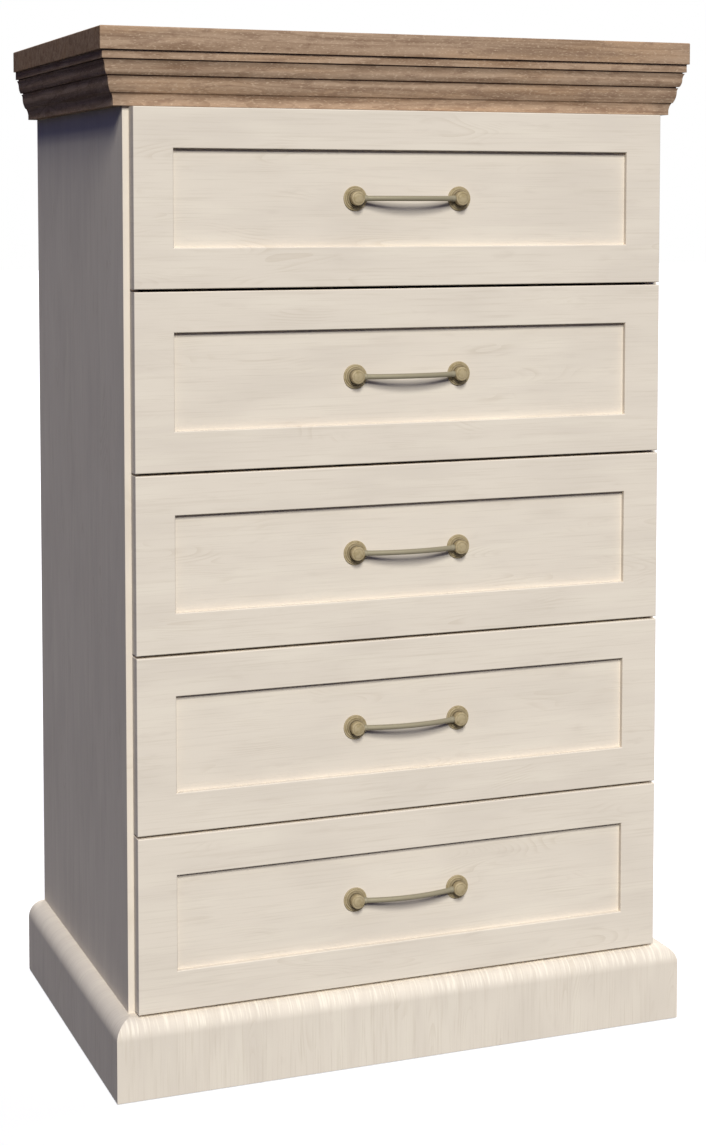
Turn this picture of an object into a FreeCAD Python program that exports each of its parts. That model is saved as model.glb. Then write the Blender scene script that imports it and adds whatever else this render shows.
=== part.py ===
import FreeCAD, Part

import math
import os
import re
from typing import NamedTuple

import Sketcher

# Tall chest of five equal drawers: a case on a plinth, a cornice under a
# thick top board, and five drawers that each run on a pair of telescopic
# runners behind an overlaid, panelled front with a bow handle.
#
# Frame: millimetres, +Z up, the fronts face -Y. The origin is on the floor,
# under the middle of the whole chest, handles included.

DRAWERS = 5  # number 1 is the top one
LEVEL_PANELS = 2  # the bottom and the inner top, on the same cam fittings
LEFT, RIGHT = -1, 1
TOUCH = 1e-3  # millimetres within which two places are the same
FULL_TURN = 360  # degrees
FORWARD = -90  # degrees from +X about +Z: the way the fronts face
UP = FreeCAD.Vector(0, 0, 1)

SIZES = {
    # Case
    "case_width": 660.0,  # over both side panels
    "case_depth": 418.0,  # side panel, front edge to back edge
    "board_thickness": 16.0,
    "back_thickness": 3.0,
    "back_inset": 10.0,  # back panel's outer face, ahead of the side panels' back edges
    "back_groove": 6.0,  # depth of the side panels' grooves for the back panel
    "groove_play": 0.2,  # each side of a thin panel in its groove
    # Plinth
    "plinth_height": 90.0,
    "plinth_thickness": 21.0,
    "plinth_flat": 1.0,  # level strip left behind the rounded top edge
    "plinth_backing": 9.0,  # board between the plinth's front and the case
    "plinth_clearance": 1.0,  # plinth's lower edge above the floor
    # Top board
    "top_thickness": 25.0,
    "top_side_overhang": 30.0,  # past the side panels
    "top_front_overhang": 4.0,  # ahead of the drawer fronts
    "top_edge_round": 1.5,
    # Cornice, from the top board down; a recess is measured in from the board's edge
    "cornice_height": 59.5,
    "fascia_height": 9.5,
    "fascia_recess": 3.0,
    "quirk_height": 1.5,  # groove over each ogee
    "quirk_depth": 2.0,
    "upper_recess": 4.5,  # upper ogee: a hollow over a swell
    "upper_hollow_height": 7.5,
    "upper_hollow_depth": 2.2,
    "upper_swell_height": 8.0,
    "upper_swell_depth": 2.3,
    "lower_recess": 10.0,  # lower ogee
    "lower_hollow_height": 4.5,
    "lower_hollow_depth": 1.4,
    "lower_swell_height": 13.0,
    "lower_swell_depth": 3.4,
    "cove_recess": 15.8,
    "cove_depth": 2.8,
    "fillet_height": 4.0,
    # Drawer fronts
    "front_height": 198.5,
    "front_thickness": 18.0,
    "front_gap": 3.0,  # between one front and the next
    "cornice_gap": 1.0,  # between the top front and the cornice
    "front_reveal": 7.0,  # case edge left in sight beside a front
    "bumper_gap": 1.5,  # between a closed front and the case
    "frame_width": 45.0,  # flat border around the sunk panel
    "panel_sink": 6.0,
    "front_edge_round": 1.2,
    # Drawer boxes
    "box_thickness": 12.0,
    "box_lift": 18.0,  # box's lower edge above the front's lower edge
    "box_headroom": 40.5,  # box's upper edge below the front's upper edge
    "box_back_room": 20.0,  # between the box and the case's back panel
    "box_groove": 6.0,
    "bottom_thickness": 3.0,
    "bottom_rise": 10.0,  # underside of the bottom above the box's lower edge
    # Telescopic runners
    "runner_space": 13.0,  # between a side panel and a drawer box
    "runner_height": 45.0,
    "runner_gauge": 1.2,
    "runner_play": 0.4,  # between one member and the next
    "runner_setback": 3.0,  # behind the case's front edge
    "runner_tail": 32.0,  # runner's back end ahead of the box's back
    "runner_rise": 50.0,  # runner's middle above the box's lower edge
    "runner_screw_inset": 37.0,  # first and last screw from the runner's ends
    "runner_screw_diameter": 3.5,
    "runner_screw_length": 10.0,
    "runner_head_diameter": 7.0,
    "runner_head_height": 1.6,
    # Joints of the case
    "fastener_fit": 0.1,  # hole's diameter over its fastener's
    "dowel_diameter": 8.0,
    "dowel_length": 32.0,
    "dowel_bite": 12.0,  # length inside the side panel
    "rail_dowel_spacing": 20.0,
    "fitting_inset": 60.0,  # cam fitting from a panel's front or back edge
    "fitting_spacing": 32.0,  # from a cam fitting to its dowel
    "cam_diameter": 15.0,
    "cam_reach": 24.0,  # from the panel's end to the cam's centre
    "cam_cap": 1.0,  # cam's wall over its bolt channel
    "bolt_diameter": 6.0,
    "bolt_channel": 7.0,
    "bolt_bite": 11.0,  # length inside the side panel
    # Floor glides
    "glide_height": 3.0,
    "glide_diameter": 12.0,
    "glide_inset": 40.0,  # from the side panel's front and back edges
    "glide_pin_diameter": 2.0,
    "glide_pin_length": 12.0,
    # Handles; a height is measured out from the sunk panel
    "handle_centres": 128.0,
    "rosette_diameter": 28.0,
    "rosette_rim": 1.5,
    "rosette_crown": 3.4,
    "rosette_crown_diameter": 19.0,
    "rosette_round": 6.0,
    "neck_diameter": 13.6,
    "post_diameter": 16.0,
    "post_start": 4.6,
    "post_height": 12.0,
    "post_edge_round": 1.4,
    "post_dome": 0.6,
    "bow_seat": 4.6,  # bow's axis at the post's own axis
    "bow_rise": 11.7,  # how much further out its middle stands
    "bow_diameter": 6.0,
    "collar_diameter": 7.2,
    "collar_length": 5.0,
    "handle_screw_diameter": 4.0,
    "handle_screw_bite": 8.0,  # length inside the post
    "handle_head_diameter": 8.0,
    "handle_head_height": 2.2,
    "bore_spare": 1.0,  # bore's depth past the screw's end
    # Cutting solids
    "overrun": 5.0,  # how far a mitre cut runs past the moulding
}

# Places in the chest's frame.
INNER_HALF = "(case_width / 2 - board_thickness)"
HANDLE_REACH = "(bow_seat + bow_rise + bow_diameter / 2)"
DEPTH = f"({HANDLE_REACH} - panel_sink + front_thickness + bumper_gap + case_depth)"
BACK_Y = f"({DEPTH} / 2)"
CASE_FRONT_Y = f"({BACK_Y} - case_depth)"
FACE_Y = f"({CASE_FRONT_Y} - bumper_gap - front_thickness)"
BACK_PANEL_Y = f"({BACK_Y} - back_inset - back_thickness)"
PITCH = "(front_height + front_gap)"
CORNICE_Z = f"(plinth_height + {DRAWERS} * {PITCH} + cornice_gap)"
CASE_TOP_Z = f"({CORNICE_Z} + cornice_height)"
TOP_HALF = "(case_width / 2 + top_side_overhang)"
TOP_FRONT_Y = f"({FACE_Y} - top_front_overhang)"
PLINTH_HALF = "(case_width / 2 + plinth_thickness)"
PLINTH_FRONT_Y = f"({CASE_FRONT_Y} - plinth_backing - plinth_thickness)"
BOTTOM_PANEL_Z = "(plinth_height - board_thickness)"
TOP_PANEL_Z = f"({CASE_TOP_Z} - board_thickness)"

# Places in a drawer's own frame: its origin is on the front's face, at the
# middle of the lower edge.
FRONT_HALF = "(case_width / 2 - front_reveal)"
BOX_HALF = f"({INNER_HALF} - runner_space)"
BOX_INNER_HALF = f"({BOX_HALF} - box_thickness)"
BOX_BACK_Y = f"({BACK_PANEL_Y} - {FACE_Y} - box_back_room)"
BOX_TOP_Z = "(front_height - box_headroom)"
BOTTOM_Z = "(box_lift + bottom_rise)"
RUNNER_Y = "(front_thickness + bumper_gap + runner_setback)"
RUNNER_LENGTH = f"({BOX_BACK_Y} - runner_tail - {RUNNER_Y})"
RUNNER_Z = "(box_lift + runner_rise)"
RUNNER_SCREWS_Y = (
    f"({RUNNER_Y} + runner_screw_inset)",
    f"({RUNNER_Y} + {RUNNER_LENGTH} - runner_screw_inset)",
)
HANDLE_Z = "(front_height / 2)"

# Middle member's web, measured in from the side panel: it clears the screw heads.
MIDDLE_WEB = "(runner_gauge + runner_head_height + runner_play)"
FLANGE_TIP = "(runner_space - runner_gauge - runner_play)"

NAMES = re.compile(r"[a-z][a-z_]+")


class Corner(NamedTuple):
    """A corner of an outline, reached by a straight edge or by an arc."""

    across: str
    up: str
    radius: str = ""
    turn: int = 1  # an arc runs anticlockwise (1) or clockwise (-1)


# ---------------------------------------------------------------------------
# The document and its helpers


def formula(text):
    """Spell a sum of size names as an expression on the sheet."""
    return NAMES.sub(lambda name: f"Sizes.{name[0]}" if name[0] in SIZES else name[0], text)


def bind(thing, member, text):
    """Tie a property or a constraint to the sheet."""
    thing.setExpression(member, formula(text))


def place(thing, x="0", y="0", z="0"):
    """Tie the placement's base to the sheet."""
    for axis, text in zip("xyz", (x, y, z)):
        bind(thing, f"Placement.Base.{axis}", text)


def write_sheet(document):
    """Write the driving dimensions and their aliases."""
    sheet = document.addObject("Spreadsheet::Sheet", "Sizes")
    for row, (name, size) in enumerate(SIZES.items(), start=1):
        sheet.set(f"A{row}", name)
        sheet.set(f"B{row}", str(size))
        sheet.setAlias(f"B{row}", name)
    document.recompute()


def new_body(document, label, x="0", y="0", z="0"):
    """A body that may hold several solids, such as a set of screws."""
    body = document.addObject("PartDesign::Body", label)
    body.Label = label
    body.AllowCompound = True
    place(body, x, y, z)
    return body


def origin_item(body, role):
    """The body's own origin plane or axis of a given role."""
    return next(item for item in body.Origin.OriginFeatures if item.Role == role)


def sketch_on(body, role, name, at="0"):
    """A sketch on an origin plane, moved to a place along the axis square to it."""
    sketch = body.newObject("Sketcher::SketchObject", f"{body.Name}_{name}")
    sketch.AttachmentSupport = [(origin_item(body, role), "")]
    sketch.MapMode = "FlatFace"
    # The XZ plane's normal points to -Y.
    side = "-1" if role == "XZ_Plane" else "1"
    bind(sketch, "AttachmentOffset.Base.z", f"{side} * ({at})")
    return sketch


def measure(sketch, text):
    """The length that a formula gives at present."""
    return float(sketch.evalExpression(formula(text)))


def spot(sketch, across, up):
    """The point that two formulas give at present."""
    return FreeCAD.Vector(measure(sketch, across), measure(sketch, up), 0)


def pin_point(sketch, edge, vertex, across, up):
    """Fix a point of an edge by its two distances from the sketch's origin."""
    point = spot(sketch, across, up)
    for kind, text, distance in (("DistanceX", across, point.x), ("DistanceY", up, point.y)):
        number = sketch.addConstraint(Sketcher.Constraint(kind, -1, 1, edge, vertex, distance))
        bind(sketch, f"Constraints[{number}]", text)


def arc_between(start, end, radius, turn):
    """The arc under half a turn from start to end."""
    chord = end - start
    middle = (start + end) / 2
    left = FreeCAD.Vector(-chord.y, chord.x, 0).normalize()
    centre = middle + left * turn * math.sqrt(radius**2 - (chord.Length / 2) ** 2)
    circle = Part.Circle(centre, UP, radius)
    first, last = (start, end) if turn > 0 else (end, start)
    angles = [math.atan2(point.y - centre.y, point.x - centre.x) for point in (first, last)]
    return Part.ArcOfCircle(circle, *angles)


def draw_outline(sketch, corners):
    """A closed outline with each corner tied to its formulas."""
    spots = [spot(sketch, corner.across, corner.up) for corner in corners]
    joints = []
    for index, corner in enumerate(corners):
        start, end = spots[index - 1], spots[index]
        if corner.radius:
            radius = measure(sketch, corner.radius)
            edge = sketch.addGeometry(arc_between(start, end, radius, corner.turn), False)
            number = sketch.addConstraint(Sketcher.Constraint("Radius", edge, radius))
            bind(sketch, f"Constraints[{number}]", corner.radius)
        else:
            edge = sketch.addGeometry(Part.LineSegment(start, end), False)
        backwards = corner.radius and corner.turn < 0
        joints.append((edge, 2, 1) if backwards else (edge, 1, 2))
    for index, (edge, first, last) in enumerate(joints):
        before, _, before_last = joints[index - 1]
        sketch.addConstraint(Sketcher.Constraint("Coincident", before, before_last, edge, first))
        pin_point(sketch, edge, last, corners[index].across, corners[index].up)


def draw_circle(sketch, across, up, diameter):
    """A circle with its centre and diameter tied to their formulas."""
    width = measure(sketch, diameter)
    circle = Part.Circle(spot(sketch, across, up), UP, width / 2)
    edge = sketch.addGeometry(circle, False)
    pin_point(sketch, edge, 3, across, up)
    number = sketch.addConstraint(Sketcher.Constraint("Diameter", edge, width))
    bind(sketch, f"Constraints[{number}]", diameter)


def rectangle(left, low, right, high):
    """The four corners of a rectangle, anticlockwise."""
    return [Corner(left, low), Corner(right, low), Corner(right, high), Corner(left, high)]


def pad(body, sketch, length, backwards=False):
    """Pad along the sketch's normal, or backwards against it."""
    feature = body.newObject("PartDesign::Pad", f"{sketch.Name}_pad")
    feature.Profile = sketch
    feature.Reversed = backwards
    bind(feature, "Length", length)
    return feature


def pocket(body, sketch, length, backwards=False):
    """Cut against the sketch's normal, or backwards along it."""
    feature = body.newObject("PartDesign::Pocket", f"{sketch.Name}_pocket")
    feature.Profile = sketch
    feature.Reversed = backwards
    bind(feature, "Length", length)
    return feature


def pad_circles(body, role, name, at, spots, diameter, length, backwards=False):
    """Cylinders of one size from a plane."""
    sketch = sketch_on(body, role, name, at)
    for across, up in spots:
        draw_circle(sketch, across, up, diameter)
    return pad(body, sketch, length, backwards)


def cut_circles(body, role, name, at, spots, diameter, length, backwards=False):
    """Round holes of one size from a plane."""
    sketch = sketch_on(body, role, name, at)
    for across, up in spots:
        draw_circle(sketch, across, up, diameter)
    return pocket(body, sketch, length, backwards)


def mirror(body, features):
    """Repeat features on the other side of the middle plane X = 0."""
    feature = body.newObject("PartDesign::Mirrored", f"{body.Name}_mirror")
    feature.Originals = features
    feature.MirrorPlane = (origin_item(body, "YZ_Plane"), [""])
    body.Tip = feature
    return feature


def repeat_up(body, transform, distance, copies):
    """Add a vertical row to a multi-transform, from the first copy to the last."""
    row = body.newObject("PartDesign::LinearPattern", f"{body.Name}_rows")
    row.Direction = (origin_item(body, "Z_Axis"), [""])
    bind(row, "Length", distance)
    row.Occurrences = copies
    transform.Transformations = [*transform.Transformations, row]


def mirror_in(body, transform):
    """Add a mirror at X = 0 to a multi-transform."""
    copy = body.newObject("PartDesign::Mirrored", f"{body.Name}_pair")
    copy.MirrorPlane = (origin_item(body, "YZ_Plane"), [""])
    transform.Transformations = [*transform.Transformations, copy]


def rows_and_pairs(body, features, distance, copies):
    """Repeat features up a vertical row and on the other side."""
    transform = body.newObject("PartDesign::MultiTransform", f"{body.Name}_copies")
    transform.Originals = features
    repeat_up(body, transform, distance, copies)
    mirror_in(body, transform)
    body.Tip = transform


def round_edges(body, feature, wanted, radius):
    """Fillet those edges of a feature whose middle point passes a test."""
    body.Document.recompute()
    names = [
        f"Edge{number}"
        for number, edge in enumerate(feature.Shape.Edges, start=1)
        if wanted(edge.CenterOfMass)
    ]
    fillet = body.newObject("PartDesign::Fillet", f"{feature.Name}_round")
    fillet.Base = (feature, names)
    bind(fillet, "Radius", radius)


def new_board(document, label, low, size):
    """A plain board: its low corner and its size along each axis."""
    board = document.addObject("Part::Box", label)
    board.Label = label
    for member, text in zip(("Length", "Width", "Height"), size):
        bind(board, member, text)
    place(board, *low)
    return board


# ---------------------------------------------------------------------------
# Where the case's fasteners go, as (y, z)


def dowel_spots(panel_z):
    """Dowels between the side panels and a level panel."""
    return [
        (f"{CASE_FRONT_Y} + fitting_inset + fitting_spacing", panel_z),
        (f"{BACK_PANEL_Y} - fitting_inset - fitting_spacing", panel_z),
    ]


def cam_spots(panel_z):
    """Cam bolts between the side panels and a level panel."""
    return [
        (f"{CASE_FRONT_Y} + fitting_inset", panel_z),
        (f"{BACK_PANEL_Y} - fitting_inset", panel_z),
    ]


def rail_spots(rail_y, rail_z):
    """Two dowels, one above the other, at the end of an upright rail."""
    return [
        (rail_y, f"{rail_z} - rail_dowel_spacing / 2"),
        (rail_y, f"{rail_z} + rail_dowel_spacing / 2"),
    ]


BOTTOM_PANEL_MIDDLE = f"({BOTTOM_PANEL_Z} + board_thickness / 2)"
TOP_PANEL_MIDDLE = f"({TOP_PANEL_Z} + board_thickness / 2)"
FRONT_RAIL_DOWELS = rail_spots(
    f"{CASE_FRONT_Y} + board_thickness / 2",
    f"({CORNICE_Z} + {TOP_PANEL_Z}) / 2",
)
BASE_RAIL_DOWELS = rail_spots(
    f"{BACK_PANEL_Y} - board_thickness / 2",
    f"(glide_height + {BOTTOM_PANEL_Z}) / 2",
)
CAM_DEPTH = "(board_thickness / 2 + bolt_channel / 2 + cam_cap)"
GLIDE_SPOTS_Y = (f"{CASE_FRONT_Y} + glide_inset", f"{BACK_Y} - glide_inset")


def drawer_z(number):
    """Height of a drawer front's lower edge."""
    return f"(plinth_height + front_gap + {DRAWERS - number} * {PITCH})"


def cabinet_screw_spots():
    """Screws of the lowest pair of cabinet runners, as (y, z)."""
    height = f"{drawer_z(DRAWERS)} + {RUNNER_Z}"
    return [(f"{FACE_Y} + {across}", height) for across in RUNNER_SCREWS_Y]


# ---------------------------------------------------------------------------
# Case


def side_panel(document, label, hand):
    """A side panel, grooved for the back panel and drilled."""
    body = new_body(document, label)
    outer = f"{hand} * case_width / 2"
    inner = f"{hand} * {INNER_HALF}"
    groove = f"{hand} * ({INNER_HALF} + back_groove)"
    groove_front = f"{BACK_PANEL_Y} - groove_play"
    groove_back = f"{BACK_PANEL_Y} + back_thickness + groove_play"
    plan = sketch_on(body, "XY_Plane", "plan", "glide_height")
    corners = [
        Corner(outer, CASE_FRONT_Y),
        Corner(inner, CASE_FRONT_Y),
        Corner(inner, groove_front),
        Corner(groove, groove_front),
        Corner(groove, groove_back),
        Corner(inner, groove_back),
        Corner(inner, BACK_Y),
        Corner(outer, BACK_Y),
    ]
    draw_outline(plan, corners)
    pad(body, plan, f"{CASE_TOP_Z} - glide_height")

    # A pocket cuts against the plane's normal, which is right for the left panel.
    outward = hand == RIGHT
    dowels = [
        *dowel_spots(BOTTOM_PANEL_MIDDLE),
        *dowel_spots(TOP_PANEL_MIDDLE),
        *FRONT_RAIL_DOWELS,
        *BASE_RAIL_DOWELS,
    ]
    dowel_hole = "dowel_diameter + fastener_fit"
    cut_circles(body, "YZ_Plane", "dowels", inner, dowels, dowel_hole, "dowel_bite", outward)
    bolts = [*cam_spots(BOTTOM_PANEL_MIDDLE), *cam_spots(TOP_PANEL_MIDDLE)]
    bolt_hole = "bolt_diameter + fastener_fit"
    cut_circles(body, "YZ_Plane", "bolts", inner, bolts, bolt_hole, "bolt_bite", outward)
    pins = [(f"{hand} * (case_width / 2 - board_thickness / 2)", y) for y in GLIDE_SPOTS_Y]
    pin_hole = "glide_pin_diameter + fastener_fit"
    cut_circles(body, "XY_Plane", "pins", "glide_height", pins, pin_hole, "glide_pin_length", True)

    screw_hole = "runner_screw_diameter + fastener_fit"
    screw_depth = "runner_screw_length - runner_gauge"
    spots = cabinet_screw_spots()
    screws = cut_circles(body, "YZ_Plane", "screws", inner, spots, screw_hole, screw_depth, outward)
    rows = body.newObject("PartDesign::LinearPattern", f"{label}_screw_rows")
    rows.Originals = [screws]
    rows.Direction = (origin_item(body, "Z_Axis"), [""])
    bind(rows, "Length", f"{DRAWERS - 1} * {PITCH}")
    rows.Occurrences = DRAWERS
    body.Tip = rows


def cross_board(document, label, front, back, low, high, dowels, cams=()):
    """A board between the side panels, drilled at both ends."""
    body = new_body(document, label)
    end = f"-1 * {INNER_HALF}"
    plan = sketch_on(body, "XY_Plane", "plan", low)
    draw_outline(plan, rectangle(end, front, INNER_HALF, back))
    pad(body, plan, f"{high} - {low}")

    dowel_hole = "dowel_diameter + fastener_fit"
    dowel_depth = "dowel_length - dowel_bite"
    holes = [cut_circles(body, "YZ_Plane", "dowels", end, dowels, dowel_hole, dowel_depth, True)]
    if cams:
        channel = ("bolt_channel", "cam_reach")
        holes.append(cut_circles(body, "YZ_Plane", "channels", end, cams, *channel, True))
        seats = [(f"cam_reach - {INNER_HALF}", y) for y, _ in cams]
        seat = ("cam_diameter + fastener_fit", CAM_DEPTH)
        holes.append(cut_circles(body, "XY_Plane", "seats", low, seats, *seat, True))
    mirror(body, holes)


def case_boards(document):
    """Every board of the case except the mouldings."""
    side_panel(document, "left_side_panel", LEFT)
    side_panel(document, "right_side_panel", RIGHT)
    for label, low, middle in (
        ("bottom_panel", BOTTOM_PANEL_Z, BOTTOM_PANEL_MIDDLE),
        ("inner_top_panel", TOP_PANEL_Z, TOP_PANEL_MIDDLE),
    ):
        high = f"({low} + board_thickness)"
        fasteners = (dowel_spots(middle), cam_spots(middle))
        cross_board(document, label, CASE_FRONT_Y, BACK_PANEL_Y, low, high, *fasteners)
    rail_back = f"{CASE_FRONT_Y} + board_thickness"
    front_rail = (CASE_FRONT_Y, rail_back, CORNICE_Z, TOP_PANEL_Z)
    cross_board(document, "top_front_rail", *front_rail, FRONT_RAIL_DOWELS)
    rail_front = f"{BACK_PANEL_Y} - board_thickness"
    base_rail = (rail_front, BACK_PANEL_Y, "glide_height", BOTTOM_PANEL_Z)
    cross_board(document, "back_base_rail", *base_rail, BASE_RAIL_DOWELS)

    back_half = f"({INNER_HALF} + back_groove - groove_play)"
    new_board(
        document,
        "back_panel",
        (f"-1 * {back_half}", BACK_PANEL_Y, "glide_height"),
        (f"2 * {back_half}", "back_thickness", f"{CASE_TOP_Z} - glide_height"),
    )
    new_board(
        document,
        "plinth_backing_board",
        ("-1 * case_width / 2", f"{CASE_FRONT_Y} - plinth_backing", "plinth_clearance"),
        ("case_width", "plinth_backing", "plinth_height - plinth_clearance"),
    )


def dowel_set(document):
    """The wooden dowels between the side panels and the boards across."""
    body = new_body(document, "dowels")
    spots = [
        *dowel_spots(BOTTOM_PANEL_MIDDLE),
        *dowel_spots(TOP_PANEL_MIDDLE),
        *FRONT_RAIL_DOWELS,
        *BASE_RAIL_DOWELS,
    ]
    start = f"-1 * ({INNER_HALF} + dowel_bite)"
    pins = pad_circles(body, "YZ_Plane", "pins", start, spots, "dowel_diameter", "dowel_length")
    mirror(body, [pins])


def cam_fittings(document):
    """Cams in the level panels and the bolts that they pull."""
    body = new_body(document, "cam_fittings")
    bolts = cam_spots(BOTTOM_PANEL_MIDDLE)
    seats = [(f"cam_reach - {INNER_HALF}", y) for y, _ in bolts]
    end = f"-1 * {INNER_HALF}"
    reach = ("bolt_channel", "cam_reach + cam_diameter / 2")
    cams = pad_circles(body, "XY_Plane", "cams", BOTTOM_PANEL_Z, seats, "cam_diameter", CAM_DEPTH)
    bores = cut_circles(body, "YZ_Plane", "bores", end, bolts, *reach, True)
    start = f"-1 * ({INNER_HALF} + bolt_bite)"
    shank = ("bolt_diameter", "bolt_bite + cam_reach")
    shanks = pad_circles(body, "YZ_Plane", "bolts", start, bolts, *shank)
    apart = f"{TOP_PANEL_Z} - {BOTTOM_PANEL_Z}"
    rows_and_pairs(body, [cams, bores, shanks], apart, LEVEL_PANELS)


def floor_glides(document):
    """Nailed glides under the side panels."""
    body = new_body(document, "floor_glides")
    spots = [("board_thickness / 2 - case_width / 2", y) for y in GLIDE_SPOTS_Y]
    feet = pad_circles(body, "XY_Plane", "feet", "0", spots, "glide_diameter", "glide_height")
    pin = ("glide_pin_diameter", "glide_pin_length")
    pins = pad_circles(body, "XY_Plane", "pins", "glide_height", spots, *pin)
    mirror(body, [feet, pins])


def top_board(document):
    """The thick board on top, with its upper and upright edges eased."""
    body = new_body(document, "top_board")
    plan = sketch_on(body, "XY_Plane", "plan", CASE_TOP_Z)
    draw_outline(plan, rectangle(f"-1 * {TOP_HALF}", TOP_FRONT_Y, TOP_HALF, BACK_Y))
    slab = pad(body, plan, "top_thickness")
    under = measure(plan, CASE_TOP_Z)
    round_edges(body, slab, lambda middle: middle.z > under + TOUCH, "top_edge_round")


# ---------------------------------------------------------------------------
# Mouldings: an outline is given as (distance in from the outer face, height)


def arc_radius(run, rise):
    """Radius of an arc that sets out along its run and ends off it by its rise."""
    return f"((({run}) ^ 2 + ({rise}) ^ 2) / (2 * ({rise})))"


def ogee(name, high):
    """One ogee's corners from its lower edge up, and the height of that edge."""
    waist = f"({name}_recess + {name}_hollow_depth)"
    middle = f"({high} - {name}_hollow_height)"
    low = f"({middle} - {name}_swell_height)"
    hollow = arc_radius(f"{name}_hollow_height", f"{name}_hollow_depth")
    swell = arc_radius(f"{name}_swell_height", f"{name}_swell_depth")
    corners = [
        Corner(f"{waist} + {name}_swell_depth", low),
        Corner(waist, middle, swell, -1),
        Corner(f"{name}_recess", high, hollow, 1),
    ]
    return corners, low


def cornice_outline():
    """From the lower edge up the shaped face; the back edge closes it."""
    fascia_low = f"({CASE_TOP_Z} - fascia_height)"
    upper_high = f"({fascia_low} - quirk_height)"
    upper, upper_low = ogee("upper", upper_high)
    lower_high = f"({upper_low} - quirk_height)"
    lower, lower_low = ogee("lower", lower_high)
    fillet_high = f"({CORNICE_Z} + fillet_height)"
    cove = arc_radius(f"{lower_low} - {fillet_high}", "cove_depth")
    return [
        Corner("cove_recess + cove_depth", CORNICE_Z),
        Corner("cove_recess + cove_depth", fillet_high),
        Corner("cove_recess", lower_low, cove, 1),
        *lower,
        Corner("lower_recess + quirk_depth", lower_high),
        Corner("lower_recess + quirk_depth", upper_low),
        *upper,
        Corner("upper_recess + quirk_depth", upper_high),
        Corner("upper_recess + quirk_depth", fascia_low),
        Corner("fascia_recess", fascia_low),
        Corner("fascia_recess", CASE_TOP_Z),
    ]


def plinth_outline():
    """From the lower edge up to the level strip behind the rounded top edge."""
    rounding = "(plinth_thickness - plinth_flat)"
    return [
        Corner("0", "plinth_clearance"),
        Corner("0", f"plinth_height - {rounding}"),
        Corner(rounding, "plinth_height", rounding, -1),
    ]


def front_moulding(document, label, outline, half, face, back):
    """A moulding along the front, mitred at both ends."""
    body = new_body(document, label)
    profile = sketch_on(body, "YZ_Plane", "profile", f"-1 * {half}")
    corners = [Corner(f"{face} + {c.across}", c.up, c.radius, c.turn) for c in outline]
    corners += [Corner(back, outline[-1].up), Corner(back, outline[0].up)]
    draw_outline(profile, corners)
    pad(body, profile, f"2 * {half}")

    run = f"({back} - {face} + overrun)"
    waste = sketch_on(body, "XY_Plane", "mitre", outline[-1].up)
    corners = [
        Corner(f"-1 * {half} - overrun", f"{face} - overrun"),
        Corner(f"{run} - {half}", f"{face} + {run}"),
        Corner(f"-1 * {half} - overrun", f"{face} + {run}"),
    ]
    draw_outline(waste, corners)
    mitre = pocket(body, waste, f"{outline[-1].up} - {outline[0].up}")
    mirror(body, [mitre])


def side_moulding(document, label, hand, outline, half, face):
    """A moulding along one side, mitred at its front end."""
    body = new_body(document, label)
    outer = f"{hand} * {half}"
    inner = f"{hand} * case_width / 2"
    profile = sketch_on(body, "XZ_Plane", "profile", face)
    corners = [
        Corner(f"{outer} - {hand} * ({c.across})", c.up, c.radius, -hand * c.turn)
        for c in outline
    ]
    corners += [Corner(inner, outline[-1].up), Corner(inner, outline[0].up)]
    draw_outline(profile, corners)
    pad(body, profile, f"{BACK_Y} - {face}", True)

    run = f"({half} - case_width / 2 + overrun)"
    waste = sketch_on(body, "XY_Plane", "mitre", outline[-1].up)
    corners = [
        Corner(f"{outer} + {hand} * overrun", f"{face} - overrun"),
        Corner(f"{outer} - {hand} * {run}", f"{face} - overrun"),
        Corner(f"{outer} - {hand} * {run}", f"{face} + {run}"),
    ]
    draw_outline(waste, corners)
    pocket(body, waste, f"{outline[-1].up} - {outline[0].up}")


def mouldings(document):
    """The cornice under the top board and the plinth around the foot."""
    for name, outline, half, face, back in (
        ("cornice", cornice_outline(), TOP_HALF, TOP_FRONT_Y, CASE_FRONT_Y),
        (
            "plinth",
            plinth_outline(),
            PLINTH_HALF,
            PLINTH_FRONT_Y,
            f"({CASE_FRONT_Y} - plinth_backing)",
        ),
    ):
        front_moulding(document, f"{name}_front", outline, half, face, back)
        side_moulding(document, f"{name}_left", LEFT, outline, half, face)
        side_moulding(document, f"{name}_right", RIGHT, outline, half, face)


# ---------------------------------------------------------------------------
# Runners: each member is a channel of bent sheet


def channel(web, tip, half_height, open_side):
    """Outline of a channel: outer face of the web, tips of the flanges."""
    inside = f"{web} + {open_side} * runner_gauge"
    inner_height = f"({half_height} - runner_gauge)"
    middle = f"({RUNNER_Z})"
    return [
        Corner(web, f"{middle} - {half_height}"),
        Corner(tip, f"{middle} - {half_height}"),
        Corner(tip, f"{middle} - {inner_height}"),
        Corner(inside, f"{middle} - {inner_height}"),
        Corner(inside, f"{middle} + {inner_height}"),
        Corner(tip, f"{middle} + {inner_height}"),
        Corner(tip, f"{middle} + {half_height}"),
        Corner(web, f"{middle} + {half_height}"),
    ]


OUTER_HALF_HEIGHT = "(runner_height / 2)"
MIDDLE_HALF_HEIGHT = f"({OUTER_HALF_HEIGHT} - runner_gauge - runner_play)"
INNER_HALF_HEIGHT = f"({MIDDLE_HALF_HEIGHT} - runner_gauge - runner_play)"


def runner_pad(body, outline):
    """A length of channel along the drawer's travel."""
    profile = sketch_on(body, "XZ_Plane", "profile", RUNNER_Y)
    draw_outline(profile, outline)
    return pad(body, profile, RUNNER_LENGTH, True)


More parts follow.
